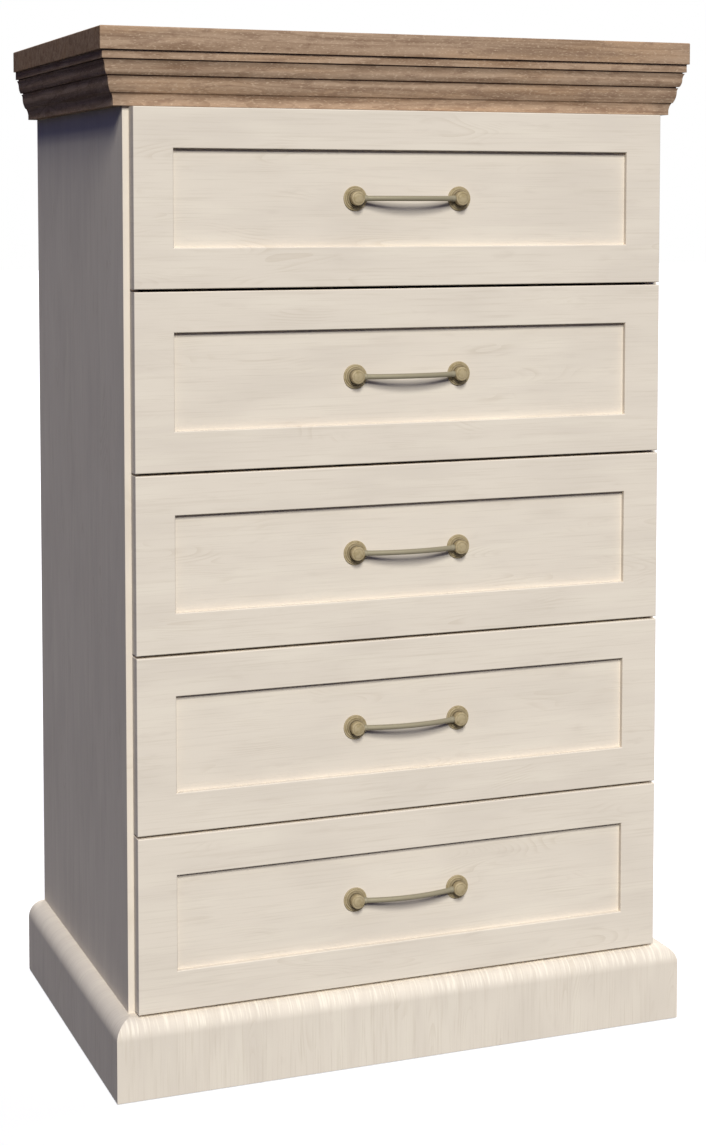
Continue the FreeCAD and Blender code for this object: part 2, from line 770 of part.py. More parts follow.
def cabinet_runners(document):
    """The outer members, screwed to the side panels."""
    body = new_body(document, "cabinet_runners", "0", FACE_Y, drawer_z(DRAWERS))
    wall = f"-1 * {INNER_HALF}"
    outline = channel(wall, f"{wall} + {FLANGE_TIP}", OUTER_HALF_HEIGHT, 1)
    member = runner_pad(body, outline)
    spots = [(across, RUNNER_Z) for across in RUNNER_SCREWS_Y]
    hole = ("runner_screw_diameter + fastener_fit", "runner_gauge")
    holes = cut_circles(body, "YZ_Plane", "holes", wall, spots, *hole, True)
    rows_and_pairs(body, [member, holes], f"{DRAWERS - 1} * {PITCH}", DRAWERS)


def cabinet_runner_screws(document):
    """The screws that hold the outer members."""
    body = new_body(document, "cabinet_runner_screws", "0", FACE_Y, drawer_z(DRAWERS))
    web = f"runner_gauge - {INNER_HALF}"
    spots = [(across, RUNNER_Z) for across in RUNNER_SCREWS_Y]
    head = ("runner_head_diameter", "runner_head_height")
    heads = pad_circles(body, "YZ_Plane", "heads", web, spots, *head)
    shank = ("runner_screw_diameter", "runner_screw_length")
    shanks = pad_circles(body, "YZ_Plane", "shanks", web, spots, *shank, True)
    rows_and_pairs(body, [heads, shanks], f"{DRAWERS - 1} * {PITCH}", DRAWERS)


def middle_runners(document, number):
    """The floating members of one drawer's runners."""
    body = new_body(document, f"drawer_{number}_middle_runners", "0", FACE_Y, drawer_z(number))
    wall = f"{MIDDLE_WEB} - {INNER_HALF}"
    tip = f"{FLANGE_TIP} - {INNER_HALF}"
    member = runner_pad(body, channel(wall, tip, MIDDLE_HALF_HEIGHT, 1))
    mirror(body, [member])


def drawer_runners(document, number):
    """The inner members, screwed to the drawer box."""
    body = new_body(document, f"drawer_{number}_runners", "0", FACE_Y, drawer_z(number))
    wall = f"-1 * {BOX_HALF}"
    tip = f"{MIDDLE_WEB} + runner_gauge + runner_play - {INNER_HALF}"
    member = runner_pad(body, channel(wall, tip, INNER_HALF_HEIGHT, -1))
    spots = [(across, RUNNER_Z) for across in RUNNER_SCREWS_Y]
    hole = ("runner_screw_diameter + fastener_fit", "runner_gauge")
    holes = cut_circles(body, "YZ_Plane", "holes", wall, spots, *hole)
    mirror(body, [member, holes])


# ---------------------------------------------------------------------------
# Drawers


def drawer_front(document, number):
    """An overlaid front with a sunk panel, grooved for the drawer's bottom."""
    body = new_body(document, f"drawer_{number}_front", "0", FACE_Y, drawer_z(number))
    face = sketch_on(body, "XZ_Plane", "face")
    draw_outline(face, rectangle(f"-1 * {FRONT_HALF}", "0", FRONT_HALF, "front_height"))
    pad(body, face, "front_thickness", True)

    sunk = sketch_on(body, "XZ_Plane", "sunk")
    panel_half = f"{FRONT_HALF} - frame_width"
    panel = rectangle(
        f"frame_width - {FRONT_HALF}", "frame_width", panel_half, "front_height - frame_width"
    )
    draw_outline(sunk, panel)
    pocket(body, sunk, "panel_sink")

    groove = sketch_on(body, "XZ_Plane", "groove", "front_thickness")
    groove_half = f"({BOX_INNER_HALF} + box_groove)"
    slot = rectangle(
        f"-1 * {groove_half}",
        f"{BOTTOM_Z} - groove_play",
        groove_half,
        f"{BOTTOM_Z} + bottom_thickness + groove_play",
    )
    draw_outline(groove, slot)
    pocket(body, groove, "box_groove", True)

    spots = [(f"{side} * handle_centres / 2", HANDLE_Z) for side in (LEFT, RIGHT)]
    hole = ("handle_screw_diameter + fastener_fit", "front_thickness")
    holes = cut_circles(body, "XZ_Plane", "holes", "0", spots, *hole)
    round_edges(body, holes, lambda middle: abs(middle.y) < TOUCH, "front_edge_round")


def drawer_sides(document, number):
    """The two side boards of a box, grooved for the bottom."""
    body = new_body(document, f"drawer_{number}_sides", "0", FACE_Y, drawer_z(number))
    outer = f"-1 * {BOX_HALF}"
    inner = f"-1 * {BOX_INNER_HALF}"
    groove = f"-1 * {BOX_INNER_HALF} - box_groove"
    groove_low = f"{BOTTOM_Z} - groove_play"
    groove_high = f"{BOTTOM_Z} + bottom_thickness + groove_play"
    profile = sketch_on(body, "XZ_Plane", "profile", "front_thickness")
    corners = [
        Corner(outer, "box_lift"),
        Corner(inner, "box_lift"),
        Corner(inner, groove_low),
        Corner(groove, groove_low),
        Corner(groove, groove_high),
        Corner(inner, groove_high),
        Corner(inner, BOX_TOP_Z),
        Corner(outer, BOX_TOP_Z),
    ]
    draw_outline(profile, corners)
    board = pad(body, profile, f"{BOX_BACK_Y} - front_thickness", True)
    spots = [(across, RUNNER_Z) for across in RUNNER_SCREWS_Y]
    hole = ("runner_screw_diameter + fastener_fit", "runner_screw_length - runner_gauge")
    holes = cut_circles(body, "YZ_Plane", "holes", outer, spots, *hole, True)
    mirror(body, [board, holes])


def drawer_back(document, number):
    """The board across the back of a box, above the bottom."""
    low = f"({BOTTOM_Z} + bottom_thickness + groove_play)"
    new_board(
        document,
        f"drawer_{number}_back",
        (
            f"-1 * {BOX_INNER_HALF}",
            f"{FACE_Y} + {BOX_BACK_Y} - box_thickness",
            f"{drawer_z(number)} + {low}",
        ),
        (f"2 * {BOX_INNER_HALF}", "box_thickness", f"{BOX_TOP_Z} - {low}"),
    )


def drawer_bottom(document, number):
    """The thin bottom, in grooves on three sides and under the back."""
    half = f"({BOX_INNER_HALF} + box_groove - groove_play)"
    start = "(front_thickness - box_groove + groove_play)"
    new_board(
        document,
        f"drawer_{number}_bottom",
        (f"-1 * {half}", f"{FACE_Y} + {start}", f"{drawer_z(number)} + {BOTTOM_Z}"),
        (f"2 * {half}", f"{BOX_BACK_Y} - {start}", "bottom_thickness"),
    )


def drawer_screws(document, number):
    """The handle's two machine screws and the four screws of the runners."""
    body = new_body(document, f"drawer_{number}_screws", "0", FACE_Y, drawer_z(number))
    handle = [("-1 * handle_centres / 2", HANDLE_Z)]
    head = ("handle_head_diameter", "handle_head_height")
    length = "front_thickness - panel_sink + handle_screw_bite"
    at = "front_thickness"
    pads = [pad_circles(body, "XZ_Plane", "handle_heads", at, handle, *head, True)]
    shank = ("handle_screw_diameter", length)
    pads.append(pad_circles(body, "XZ_Plane", "handle_shanks", at, handle, *shank))

    spots = [(across, RUNNER_Z) for across in RUNNER_SCREWS_Y]
    web = f"-1 * {BOX_HALF} - runner_gauge"
    head = ("runner_head_diameter", "runner_head_height")
    pads.append(pad_circles(body, "YZ_Plane", "runner_heads", web, spots, *head, True))
    shank = ("runner_screw_diameter", "runner_screw_length")
    pads.append(pad_circles(body, "YZ_Plane", "runner_shanks", web, spots, *shank))
    mirror(body, pads)


# The bow's axis is an arc from one post's axis to the other's.
BOW_RADIUS = arc_radius("handle_centres / 2", "bow_rise")
BOW_CENTRE_Y = f"({BOW_RADIUS} - bow_seat - bow_rise)"
BOW_ANGLE = f"asin(handle_centres / 2 / {BOW_RADIUS})"


def bow_piece(body, name, diameter, start, sweep):
    """A stretch of round bar along the bow; angles are from the middle."""
    bar = body.newObject("PartDesign::AdditiveTorus", f"{body.Name}_{name}")
    bar.Placement = FreeCAD.Placement(FreeCAD.Vector(), FreeCAD.Rotation(UP, FORWARD))
    bind(bar, "Radius1", BOW_RADIUS)
    bind(bar, "Radius2", f"{diameter} / 2")
    bind(bar, "Angle3", sweep)
    bind(bar, "Placement.Base.y", BOW_CENTRE_Y)
    bind(bar, "Placement.Rotation.Angle", f"{FORWARD} deg + {start}")
    return bar


def post_outline():
    """Half outline of rosette and post: (distance from the axis, height out)."""
    crown = "rosette_crown_diameter / 2"
    tip = "(post_diameter / 2 - post_edge_round)"
    # A dome whose centre lies on the axis.
    dome = arc_radius(tip, "post_dome")
    return [
        Corner("0", "0"),
        Corner("rosette_diameter / 2", "0"),
        Corner("rosette_diameter / 2", "rosette_rim"),
        Corner(crown, "rosette_crown", "rosette_round", 1),
        Corner("neck_diameter / 2", "rosette_crown"),
        Corner("neck_diameter / 2", "post_start"),
        Corner("post_diameter / 2", "post_start"),
        Corner("post_diameter / 2", "post_height - post_edge_round"),
        Corner(tip, "post_height", "post_edge_round", 1),
        Corner("0", "post_height + post_dome", dome, 1),
    ]


def handle(document, number):
    """A bow handle cast with its two posts and rosettes, bored for screws."""
    label = f"drawer_{number}_handle"
    body = new_body(
        document, label, "0", f"{FACE_Y} + panel_sink", f"{drawer_z(number)} + {HANDLE_Z}"
    )
    # The half outline lies to the left of the left post's axis, with the
    # height out of the panel along -Y.
    axis_x = "-1 * handle_centres / 2"
    profile = sketch_on(body, "XY_Plane", "post")
    corners = [
        Corner(f"{axis_x} - ({c.across})", f"-1 * ({c.up})", c.radius, c.turn)
        for c in post_outline()
    ]
    draw_outline(profile, corners)
    top = "post_height + post_dome + overrun"
    start, end = (spot(profile, axis_x, text) for text in ("0", f"-1 * ({top})"))
    axis = profile.addGeometry(Part.LineSegment(start, end), True)
    pin_point(profile, axis, 1, axis_x, "0")
    pin_point(profile, axis, 2, axis_x, f"-1 * ({top})")
    post = body.newObject("PartDesign::Revolution", f"{label}_posts")
    post.Profile = profile
    post.ReferenceAxis = (profile, ["Axis0"])
    post.Angle = FULL_TURN

    sweep = f"collar_length / {BOW_RADIUS} * 1 rad"
    inside = f"asin((handle_centres / 2 - post_diameter / 4) / {BOW_RADIUS})"
    outside = f"asin((handle_centres / 2 - post_diameter / 2) / {BOW_RADIUS}) - {sweep}"
    full = f"{inside} - ({outside})"
    collar = bow_piece(body, "collar", "collar_diameter", f"-1 * {inside}", full)
    mirror(body, [post, collar])
    bow_piece(body, "bow", "bow_diameter", f"-1 * {BOW_ANGLE}", f"2 * {BOW_ANGLE}")
    spots = [(f"{side} * handle_centres / 2", "0") for side in (LEFT, RIGHT)]
    bore = ("handle_screw_diameter + fastener_fit", "handle_screw_bite + bore_spare")
    cut_circles(body, "XZ_Plane", "bores", "0", spots, *bore, True)


def drawer(document, number):
    """Every piece of one drawer, and the runner members between it and the case."""
    drawer_front(document, number)
    drawer_sides(document, number)
    drawer_back(document, number)
    drawer_bottom(document, number)
    handle(document, number)
    drawer_runners(document, number)
    drawer_screws(document, number)
    middle_runners(document, number)


# ---------------------------------------------------------------------------
# Checks and files


def solids_volume(shape):
    """The summed volume of a shape's solids, or nothing for an empty shape."""
    return 0.0 if shape.isNull() else sum(solid.Volume for solid in shape.Solids)


def sub_parts(document):
    """The bodies and boards, which are the chest's separate pieces."""
    return [
        item
        for item in document.Objects
        if item.TypeId in ("PartDesign::Body", "Part::Box")
    ]


def check(document):
    """Stop if an object failed, a cut removed nothing or a piece isn't valid."""
    for item in document.Objects:
        if {"Invalid", "Error"} & set(item.State):
            raise RuntimeError(f"{item.Name} failed: {item.State}")
        if item.TypeId == "PartDesign::Pocket":
            before = solids_volume(item.BaseFeature.Shape)
            if solids_volume(item.Shape) >= before:
                raise RuntimeError(f"{item.Name} cuts nothing")
    for piece in sub_parts(document):
        if piece.Shape.isNull() or not piece.Shape.isValid() or not piece.Shape.Solids:
            raise RuntimeError(f"{piece.Label} isn't a valid solid")


def export(document):
    """Write each piece to its own file."""
    os.makedirs("parts", exist_ok=True)
    for piece in sub_parts(document):
        piece.Shape.exportStep(os.path.join("parts", f"{piece.Label}.step"))


def main():
    document = FreeCAD.newDocument("Chest")
    write_sheet(document)
    case_boards(document)
    dowel_set(document)
    cam_fittings(document)
    floor_glides(document)
    top_board(document)
    mouldings(document)
    cabinet_runners(document)
    cabinet_runner_screws(document)
    for number in range(1, DRAWERS + 1):
        drawer(document, number)
    document.recompute()
    check(document)
    export(document)


main()
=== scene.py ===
"""The looks of a tall chest of five drawers: finishes, handles, fasteners, light and camera."""

import logging
import math
from collections.abc import Sequence
from dataclasses import dataclass, field
from enum import Enum
from typing import Any

import bmesh
import bpy
from mathutils import Matrix, Vector


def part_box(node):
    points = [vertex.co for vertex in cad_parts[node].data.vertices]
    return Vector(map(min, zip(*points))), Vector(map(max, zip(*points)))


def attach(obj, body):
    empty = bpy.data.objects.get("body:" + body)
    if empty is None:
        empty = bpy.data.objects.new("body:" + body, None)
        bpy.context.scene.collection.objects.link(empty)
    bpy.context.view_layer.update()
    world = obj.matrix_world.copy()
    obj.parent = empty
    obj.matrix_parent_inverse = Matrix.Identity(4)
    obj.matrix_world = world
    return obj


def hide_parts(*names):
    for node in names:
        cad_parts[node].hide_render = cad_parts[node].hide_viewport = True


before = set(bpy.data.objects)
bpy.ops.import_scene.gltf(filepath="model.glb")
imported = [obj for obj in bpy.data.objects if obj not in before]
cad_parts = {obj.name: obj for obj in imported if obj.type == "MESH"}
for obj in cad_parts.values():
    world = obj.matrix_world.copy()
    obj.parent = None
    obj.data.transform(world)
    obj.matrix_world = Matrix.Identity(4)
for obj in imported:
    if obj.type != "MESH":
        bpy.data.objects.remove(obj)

LOG = logging.getLogger("chest")
MM = 0.001  # metres
DRAWERS = range(1, 6)  # 1 is the top one
UPRIGHT = Matrix.Rotation(math.radians(90), 4, "X")  # turns +Z to face -Y
CREASE = math.radians(38)  # edges that bend more than this stay sharp
KNOT_STRETCH = 1.3  # knots lie this much further apart along the grain
MATT = 0.01  # specular level of the dead-matt foils, which don't shine even from the side
LAMP_DISTANCE = 4.0  # metres
SMOOTH = {"interpolation_type": "SMOOTHSTEP"}  # how a Map Range node rises and falls here

Pair = tuple[float, float]
Colour = tuple[float, float, float, float]
Socket = bpy.types.NodeSocket
Spot = tuple[Vector, Vector]  # a screw's place in millimetres, and the way its head faces
Step = tuple[str, str, str, str | float]  # a value's name, first term, operation, second term


def linear(code: str) -> Colour:
    """Turn an sRGB hex colour into linear light.

    Args:
        code: Six hex digits with a leading #.

    Returns:
        Red, green, blue and an alpha of 1.
    """
    channels = (int(code[start : start + 2], 16) / 255 for start in (1, 3, 5))
    red, green, blue = (
        value / 12.92 if value <= 0.04045 else ((value + 0.055) / 1.055) ** 2.4
        for value in channels
    )
    return red, green, blue, 1.0


def add_node(
    tree: bpy.types.NodeTree,
    kind: str,
    inputs: dict[str | int, Any] | None = None,
    **settings: Any,
) -> bpy.types.Node:
    """Add a node with its settings and fill or link its inputs.

    Args:
        tree: The shader or geometry tree that gets the node.
        kind: The node's type name.
        inputs: Values, or sockets to link from, by input name or number.
        settings: The node's own properties.

    Returns:
        The new node.
    """
    node = tree.nodes.new(kind)
    for name, value in settings.items():
        setattr(node, name, value)
    for key, value in (inputs or {}).items():
        if isinstance(value, Socket):
            tree.links.new(value, node.inputs[key])
        else:
            node.inputs[key].default_value = value
    return node


def work_out(tree: bpy.types.NodeTree, values: dict[str, Socket], steps: Sequence[Step]) -> None:
    """Work a formula out, one named value after another.

    Args:
        tree: The tree that does the sums.
        values: The values that are there by name; the new ones are added to it.
        steps: How each new value is made. A second term is a name or a number.
    """
    for name, first, operation, second in steps:
        inputs = {0: values[first], 1: values.get(second, second)}
        values[name] = add_node(tree, "ShaderNodeMath", inputs, operation=operation).outputs[0]


# ---- Patterns and finishes


class Grain(Enum):
    """Which of the chest's axes a board's grain follows, then the two across it."""

    ALONG_X = ("X", "Z", "Y")
    ALONG_Y = ("Y", "Z", "X")
    UP_THE_FRONT = ("Z", "X", "Y")
    UP_THE_SIDE = ("Z", "Y", "X")
    FLAT = ("X", "Y", "Z")


@dataclass
class Pattern:
    """Draws the patterns of one material, in millimetres on the piece itself."""

    tree: bpy.types.NodeTree
    grain: Grain = Grain.ALONG_X
    wrap: float = 1.0  # how much longer a cell is through the board than across it
    point: Socket = field(init=False)  # the shaded point in millimetres, the grain's axis first

    def __post_init__(self) -> None:
        """Find the shaded point."""
        place = add_node(self.tree, "ShaderNodeTexCoord").outputs["Object"]
        axes = add_node(self.tree, "ShaderNodeSeparateXYZ", {0: place}).outputs
        turned_axes = {name: axes[axis] for name, axis in zip("XYZ", self.grain.value)}
        joined = add_node(self.tree, "ShaderNodeCombineXYZ", turned_axes).outputs[0]
        inputs = {0: joined, "Scale": 1 / MM}
        scaled = add_node(self.tree, "ShaderNodeVectorMath", inputs, operation="SCALE")
        self.point = scaled.outputs[0]

    def texture(
        self, kind: str, output: str, length: float, width: float, start: float, **inputs: float
    ) -> Socket:
        """Draw a texture with cells of a real size.

        Args:
            kind: The texture node's type name.
            output: The name of the output that is used.
            length: A cell's size along the grain, in millimetres.
            width: A cell's size across the grain, in millimetres.
            start: Where the pattern starts, in cells.
            inputs: The texture's own inputs.

        Returns:
            What that output gives.
        """
        cell = (1 / length, 1 / width, 1 / (width * self.wrap))
        mapping = {"Vector": self.point, "Location": (start, start, start), "Scale": cell}
        counted = add_node(self.tree, "ShaderNodeMapping", mapping).outputs[0]
        values = {"Vector": counted, "Scale": 1.0, **inputs}
        return add_node(self.tree, kind, values).outputs[output]

    def streaks(
        self, length: float, width: float, detail: float = 2.0, start: float = 0.0
    ) -> Socket:
        """Return soft streaks, from 0 to 1, of a length and width in millimetres."""
        inputs = {"Detail": detail, "Roughness": 0.55}
        return self.texture("ShaderNodeTexNoise", "Fac", length, width, start, **inputs)

    def knots(self, apart: float) -> Socket:
        """Return the distance to the nearest knot, as a share of how far apart they lie."""
        return self.texture("ShaderNodeTexVoronoi", "Distance", apart * KNOT_STRETCH, apart, 0.0)

    def rings(
        self, knot: Socket, reach: float, push: float, length: float, width: float, count: float
    ) -> Socket:
        """Draw growth rings in the long arches of a board cut off the log's centre.

        Args:
            knot: The distance to the nearest knot.
            reach: The distance within which a knot bends the rings.
            push: How far it bends them, as a share of the range of heights.
            length: An arch's length in millimetres.
            width: An arch's width in millimetres.
            count: Rings over the whole range of heights.

        Returns:
            A line that darkens slowly and ends sharply, from 0 to 1.
        """
        inputs = {"Value": knot, "From Min": reach, "From Max": 0.0, "To Max": push}
        bend = add_node(self.tree, "ShaderNodeMapRange", inputs, **SMOOTH).outputs[0]
        values = {"arches": self.streaks(length, width, detail=1.0), "bend": bend}
        steps = (
            ("height", "arches", "ADD", "bend"),
            ("counted", "height", "MULTIPLY", count),
            ("line", "counted", "FRACT", 0.0),
        )
        work_out(self.tree, values, steps)
        return values["line"]

    def lay(
        self,
        under: Socket | Colour,
        colour: str,
        value: Socket,
        low: float,
        high: float,
        most: float | Socket = 1.0,
    ) -> Socket:
        """Lay a colour over another where a value is high.

        Args:
            under: The colour below, in linear light.
            colour: The colour on top, in sRGB.
            value: The value that it follows.
            low: Where that value begins to show it.
            high: Where that value shows it most.
            most: How much it shows there.

        Returns:
            The colour of the two together.
        """
        inputs = {"Value": value, "From Min": low, "From Max": high, "To Max": most}
        share = add_node(self.tree, "ShaderNodeMapRange", inputs, **SMOOTH).outputs[0]
        inputs = {0: share, 6: under, 7: linear(colour)}
        return add_node(self.tree, "ShaderNodeMix", inputs, data_type="RGBA").outputs[2]

    def surface(
        self, value: Socket, span: Pair, rough: Pair, relief: Socket, depth: float
    ) -> dict[str, Any]:
        """Vary a surface's roughness and raise its relief.

        Args:
            value: The value that the roughness follows.
            span: Where that value begins to change it, and where it ends.
            rough: The roughness at the one and at the other.
            relief: The height of the relief, from 0 to 1.
            depth: How high that is, in millimetres.

        Returns:
            What goes into the shader's sockets for both.
        """
        inputs = {"Value": value, "From Min": span[0], "From Max": span[1]}
        inputs |= {"To Min": rough[0], "To Max": rough[1]}
        roughness = add_node(self.tree, "ShaderNodeMapRange", inputs, **SMOOTH).outputs[0]
        inputs = {"Height": relief, "Distance": depth * MM}
        normal = add_node(self.tree, "ShaderNodeBump", inputs).outputs["Normal"]
        return {"Roughness": roughness, "Normal": normal}


@dataclass(frozen=True)
class Finish:
    """A material built from nodes; each kind of finish adds its recipe."""

    name: str

    def recipe(self, tree: bpy.types.NodeTree) -> dict[str, Any]:
        """Return what goes into the shader's sockets, drawn in the material's own tree."""
        raise NotImplementedError

    def build(self) -> bpy.types.Material:
        """Build the material.

        Returns:
            The finished material.
        """
        material = bpy.data.materials.new(self.name)
        material.use_nodes = True
        tree = material.node_tree
        tree.nodes.clear()
        shader = add_node(tree, "ShaderNodeBsdfPrincipled", self.recipe(tree))
        add_node(tree, "ShaderNodeOutputMaterial", {"Surface": shader.outputs[0]})
        return material


@dataclass(frozen=True)
class WashedPineLaminate(Finish):
    """Printed melamine foil with a brushed, white-washed pine grain.

    Matt and almost even in tone, with cloudy grey patches, faint arches and
    fine fibres; on a rounded top, pale streaks along the grain are a painted highlight.
    """

    grain: Grain = Grain.ALONG_X
    brushed: float = 0.3  # how strongly the brushed fibres show
    top_highlight: float = 0.0  # how strongly pale streaks show on upward-facing rounded tops, a painted highlight
    relief: float = 0.05  # millimetres
    base: str = "#E4DACB"

    def recipe(self, tree: bpy.types.NodeTree) -> dict[str, Any]:
        """Draw clouds, smudges, faint rings, fibres and knots on cream, and a painted highlight on
        rounded tops.

        Args:
            tree: The material's own tree.

        Returns:
            What goes into the shader's sockets.
        """
        draw = Pattern(tree, self.grain, wrap=20.0)  # the printed foil folds over the edges
        knot = draw.knots(apart=190)
        rings = draw.rings(knot, reach=0.35, push=0.10, length=280, width=42, count=30)
        patch = draw.streaks(length=95, width=32, start=31)
        inputs = {"Value": patch, "From Min": 0.56, "From Max": 0.72, "To Max": 0.22}
        faint = add_node(tree, "ShaderNodeMapRange", inputs, **SMOOTH).outputs[0]
        fibres = draw.streaks(length=70, width=1.7, detail=3)
        strands = draw.streaks(length=150, width=5, start=41)
        clouds = draw.streaks(length=150, width=55, start=7)
        smudges = draw.streaks(length=48, width=13, detail=3, start=19)
        light = draw.streaks(length=140, width=20, detail=1, start=13)
        colour = draw.lay(linear(self.base), "#D9CFC1", clouds, 0.40, 0.70, 0.5)
        colour = draw.lay(colour, "#D0C5B6", smudges, 0.58, 0.82, 0.4)
        colour = draw.lay(colour, "#EAE1D1", light, 0.46, 0.76, 0.5)
        colour = draw.lay(colour, "#D2C7B7", strands, 0.54, 0.76, 0.3)
        colour = draw.lay(colour, "#BCAD97", rings, 0.40, 1.0, faint)
        colour = draw.lay(colour, "#C9BEAC", fibres, 0.50, 0.76, self.brushed)
        colour = draw.lay(colour, "#B8A890", knot, 0.05, 0.01, 0.45)
        # painted highlight: pale streaks along the grain where the surface faces upwards, standing
        # in for light on the rounding
        if self.top_highlight:
            normal = add_node(tree, "ShaderNodeTexCoord").outputs["Normal"]
            upward = add_node(tree, "ShaderNodeSeparateXYZ", {0: normal}).outputs["Z"]
            inputs = {"Value": upward, "From Min": 0.10, "From Max": 0.45}
            inputs["To Max"] = self.top_highlight
            highlight_share = add_node(tree, "ShaderNodeMapRange", inputs, **SMOOTH).outputs[0]
            pale = draw.streaks(length=48, width=2.8, start=53)
            colour = draw.lay(colour, "#F8F0DF", pale, 0.48, 0.68, highlight_share)
        surface = draw.surface(fibres, (0.2, 0.8), (0.76, 0.88), fibres, self.relief)
        return {"Base Color": colour, "Specular IOR Level": MATT, **surface}


@dataclass(frozen=True)
class BrownOakLaminate(Finish):
    """Printed melamine foil with a smoked wild-oak grain.

    Greyish brown with reddish bands, short dark pores, pale flecks and a few
    dark knots; the cut ends are darker, partly as end grain is and partly as painted shade.
    """

    grain: Grain = Grain.ALONG_X
    end_grain_and_shade: bool = False
    base: str = "#B29880"

    def recipe(self, tree: bpy.types.NodeTree) -> dict[str, Any]:
        """Draw bands, rings, pores, flecks and knots on brown.

        Args:
            tree: The material's own tree.

        Returns:
            What goes into the shader's sockets.
        """
        draw = Pattern(tree, self.grain)
        knot = draw.knots(apart=105)
        rings = draw.rings(knot, reach=0.45, push=0.25, length=520, width=24, count=9)
        bands = draw.streaks(length=300, width=9, detail=3)
        warm = draw.streaks(length=240, width=26, start=17)
        pores = draw.streaks(length=12, width=1.1, start=3)
        flecks = draw.streaks(length=4.5, width=1.5, start=23)
        mottle = draw.streaks(length=26, width=9, detail=4, start=37)
        smoke = draw.streaks(length=120, width=22, detail=3, start=61)
        colour = draw.lay(linear(self.base), "#886F5A", bands, 0.45, 0.72, 0.85)
        colour = draw.lay(colour, "#B59475", warm, 0.48, 0.70, 0.6)
        colour = draw.lay(colour, "#8F7561", mottle, 0.48, 0.66, 0.65)
        colour = draw.lay(colour, "#7A5F4A", smoke, 0.56, 0.74, 0.6)
        colour = draw.lay(colour, "#80654F", rings, 0.45, 1.0, 0.4)
        colour = draw.lay(colour, "#CDB59B", flecks, 0.54, 0.72, 0.65)
        colour = draw.lay(colour, "#6F5541", pores, 0.60, 0.78, 0.5)
        colour = draw.lay(colour, "#4C382A", knot, 0.10, 0.02, 0.8)
        # ends that face sideways are darkened: partly end grain, partly painted shade
        if self.end_grain_and_shade:
            normal = add_node(tree, "ShaderNodeTexCoord").outputs["Normal"]
            side = add_node(tree, "ShaderNodeSeparateXYZ", {0: normal}).outputs["X"]
            end = add_node(tree, "ShaderNodeMath", {0: side}, operation="ABSOLUTE").outputs[0]
            colour = draw.lay(colour, "#54382A", end, 0.7, 0.95, 0.35)
        surface = draw.surface(bands, (0.3, 0.7), (0.74, 0.88), pores, depth=0.05)
        return {"Base Color": colour, "Specular IOR Level": MATT, **surface}


@dataclass(frozen=True)
class Hardboard(Finish):
    """Pressed fibre sheet, white lacquer on one face and raw brown on the other."""

    raw_side: tuple[float, float, float] = (0.0, 1.0, 0.0)  # the way the raw face looks

    def recipe(self, tree: bpy.types.NodeTree) -> dict[str, Any]:
        """Draw lacquer on one face and fibres on the other.

        Args:
            tree: The material's own tree.

        Returns:
            What goes into the shader's sockets.
        """
        draw = Pattern(tree)
        fibres = draw.streaks(length=5, width=1.5, detail=4)
        clouds = draw.streaks(length=90, width=70, detail=3, start=9)
        lacquer = draw.lay(linear("#E4E0D8"), "#D8D3C9", clouds, 0.4, 0.7)
        raw = draw.lay(linear("#A08463"), "#866B4D", fibres, 0.42, 0.66)
        raw = draw.lay(raw, "#B39775", clouds, 0.45, 0.75, 0.6)
        normal = add_node(tree, "ShaderNodeTexCoord").outputs["Normal"]
        inputs = {0: normal, 1: self.raw_side}
        dot = add_node(tree, "ShaderNodeVectorMath", inputs, operation="DOT_PRODUCT")
        facing = dot.outputs["Value"]
        inputs = {"Value": facing, "From Min": 0.4, "From Max": 0.6}
        side = add_node(tree, "ShaderNodeMapRange", inputs, **SMOOTH).outputs[0]
        mixed = add_node(tree, "ShaderNodeMix", {0: side, 6: lacquer, 7: raw}, data_type="RGBA")
        surface = draw.surface(facing, (0.4, 0.6), (0.45, 0.80), fibres, depth=0.06)
        return {"Base Color": mixed.outputs[2], **surface}


@dataclass(frozen=True)
class AgedBrass(Finish):
    """Cast brass, aged and waxed: a dull khaki, dark brown in its hollows, from patina and from
    painted shade under the posts.

    The patina covers most of the metal, which takes its mirror away and lets
    a cast shadow show on it; the bar is drawn greyer than the posts.
    The casting's skin is drawn coarser than it is, so that it shows.
    """

    metallic: float = 0.14
    gloss: float = 0.12  # specular level of the patina

    def recipe(self, tree: bpy.types.NodeTree) -> dict[str, Any]:
        """Draw satin brass with patina in cloudy spots and in its hollows, deepened under the
        posts as painted shade.

        Args:
            tree: The material's own tree.

        Returns:
            What goes into the shader's sockets.
        """
        draw = Pattern(tree)
        spots = draw.streaks(length=5, width=5, detail=4)
        skin = draw.streaks(length=0.9, width=0.9, detail=3, start=11)
        # the hollows' dark brown is patina, deepened under the posts as painted shade
        rubbed, hollow = (
            add_node(tree, "ShaderNodeAttribute", attribute_name=name).outputs["Fac"]
            for name in ("rubbed", "patina")
        )
        colour = draw.lay(linear("#AC9D7D"), "#958561", spots, 0.42, 0.70, 0.7)
        # the bar is drawn greyer than the posts, and the hollows dark
        for share, shade in ((rubbed, "#938B75"), (hollow, "#33261A")):
            inputs = {0: share, 6: colour, 7: linear(shade)}
            colour = add_node(tree, "ShaderNodeMix", inputs, data_type="RGBA").outputs[2]
        inputs = {"Value": hollow, "From Min": 0.6, "From Max": 0.0, "To Max": self.metallic}
        return {
            "Base Color": colour,
            "Metallic": add_node(tree, "ShaderNodeMapRange", inputs, **SMOOTH).outputs[0],
            "Specular IOR Level": self.gloss,
            **draw.surface(spots, (0.3, 0.7), (0.54, 0.66), skin, depth=0.02),
        }


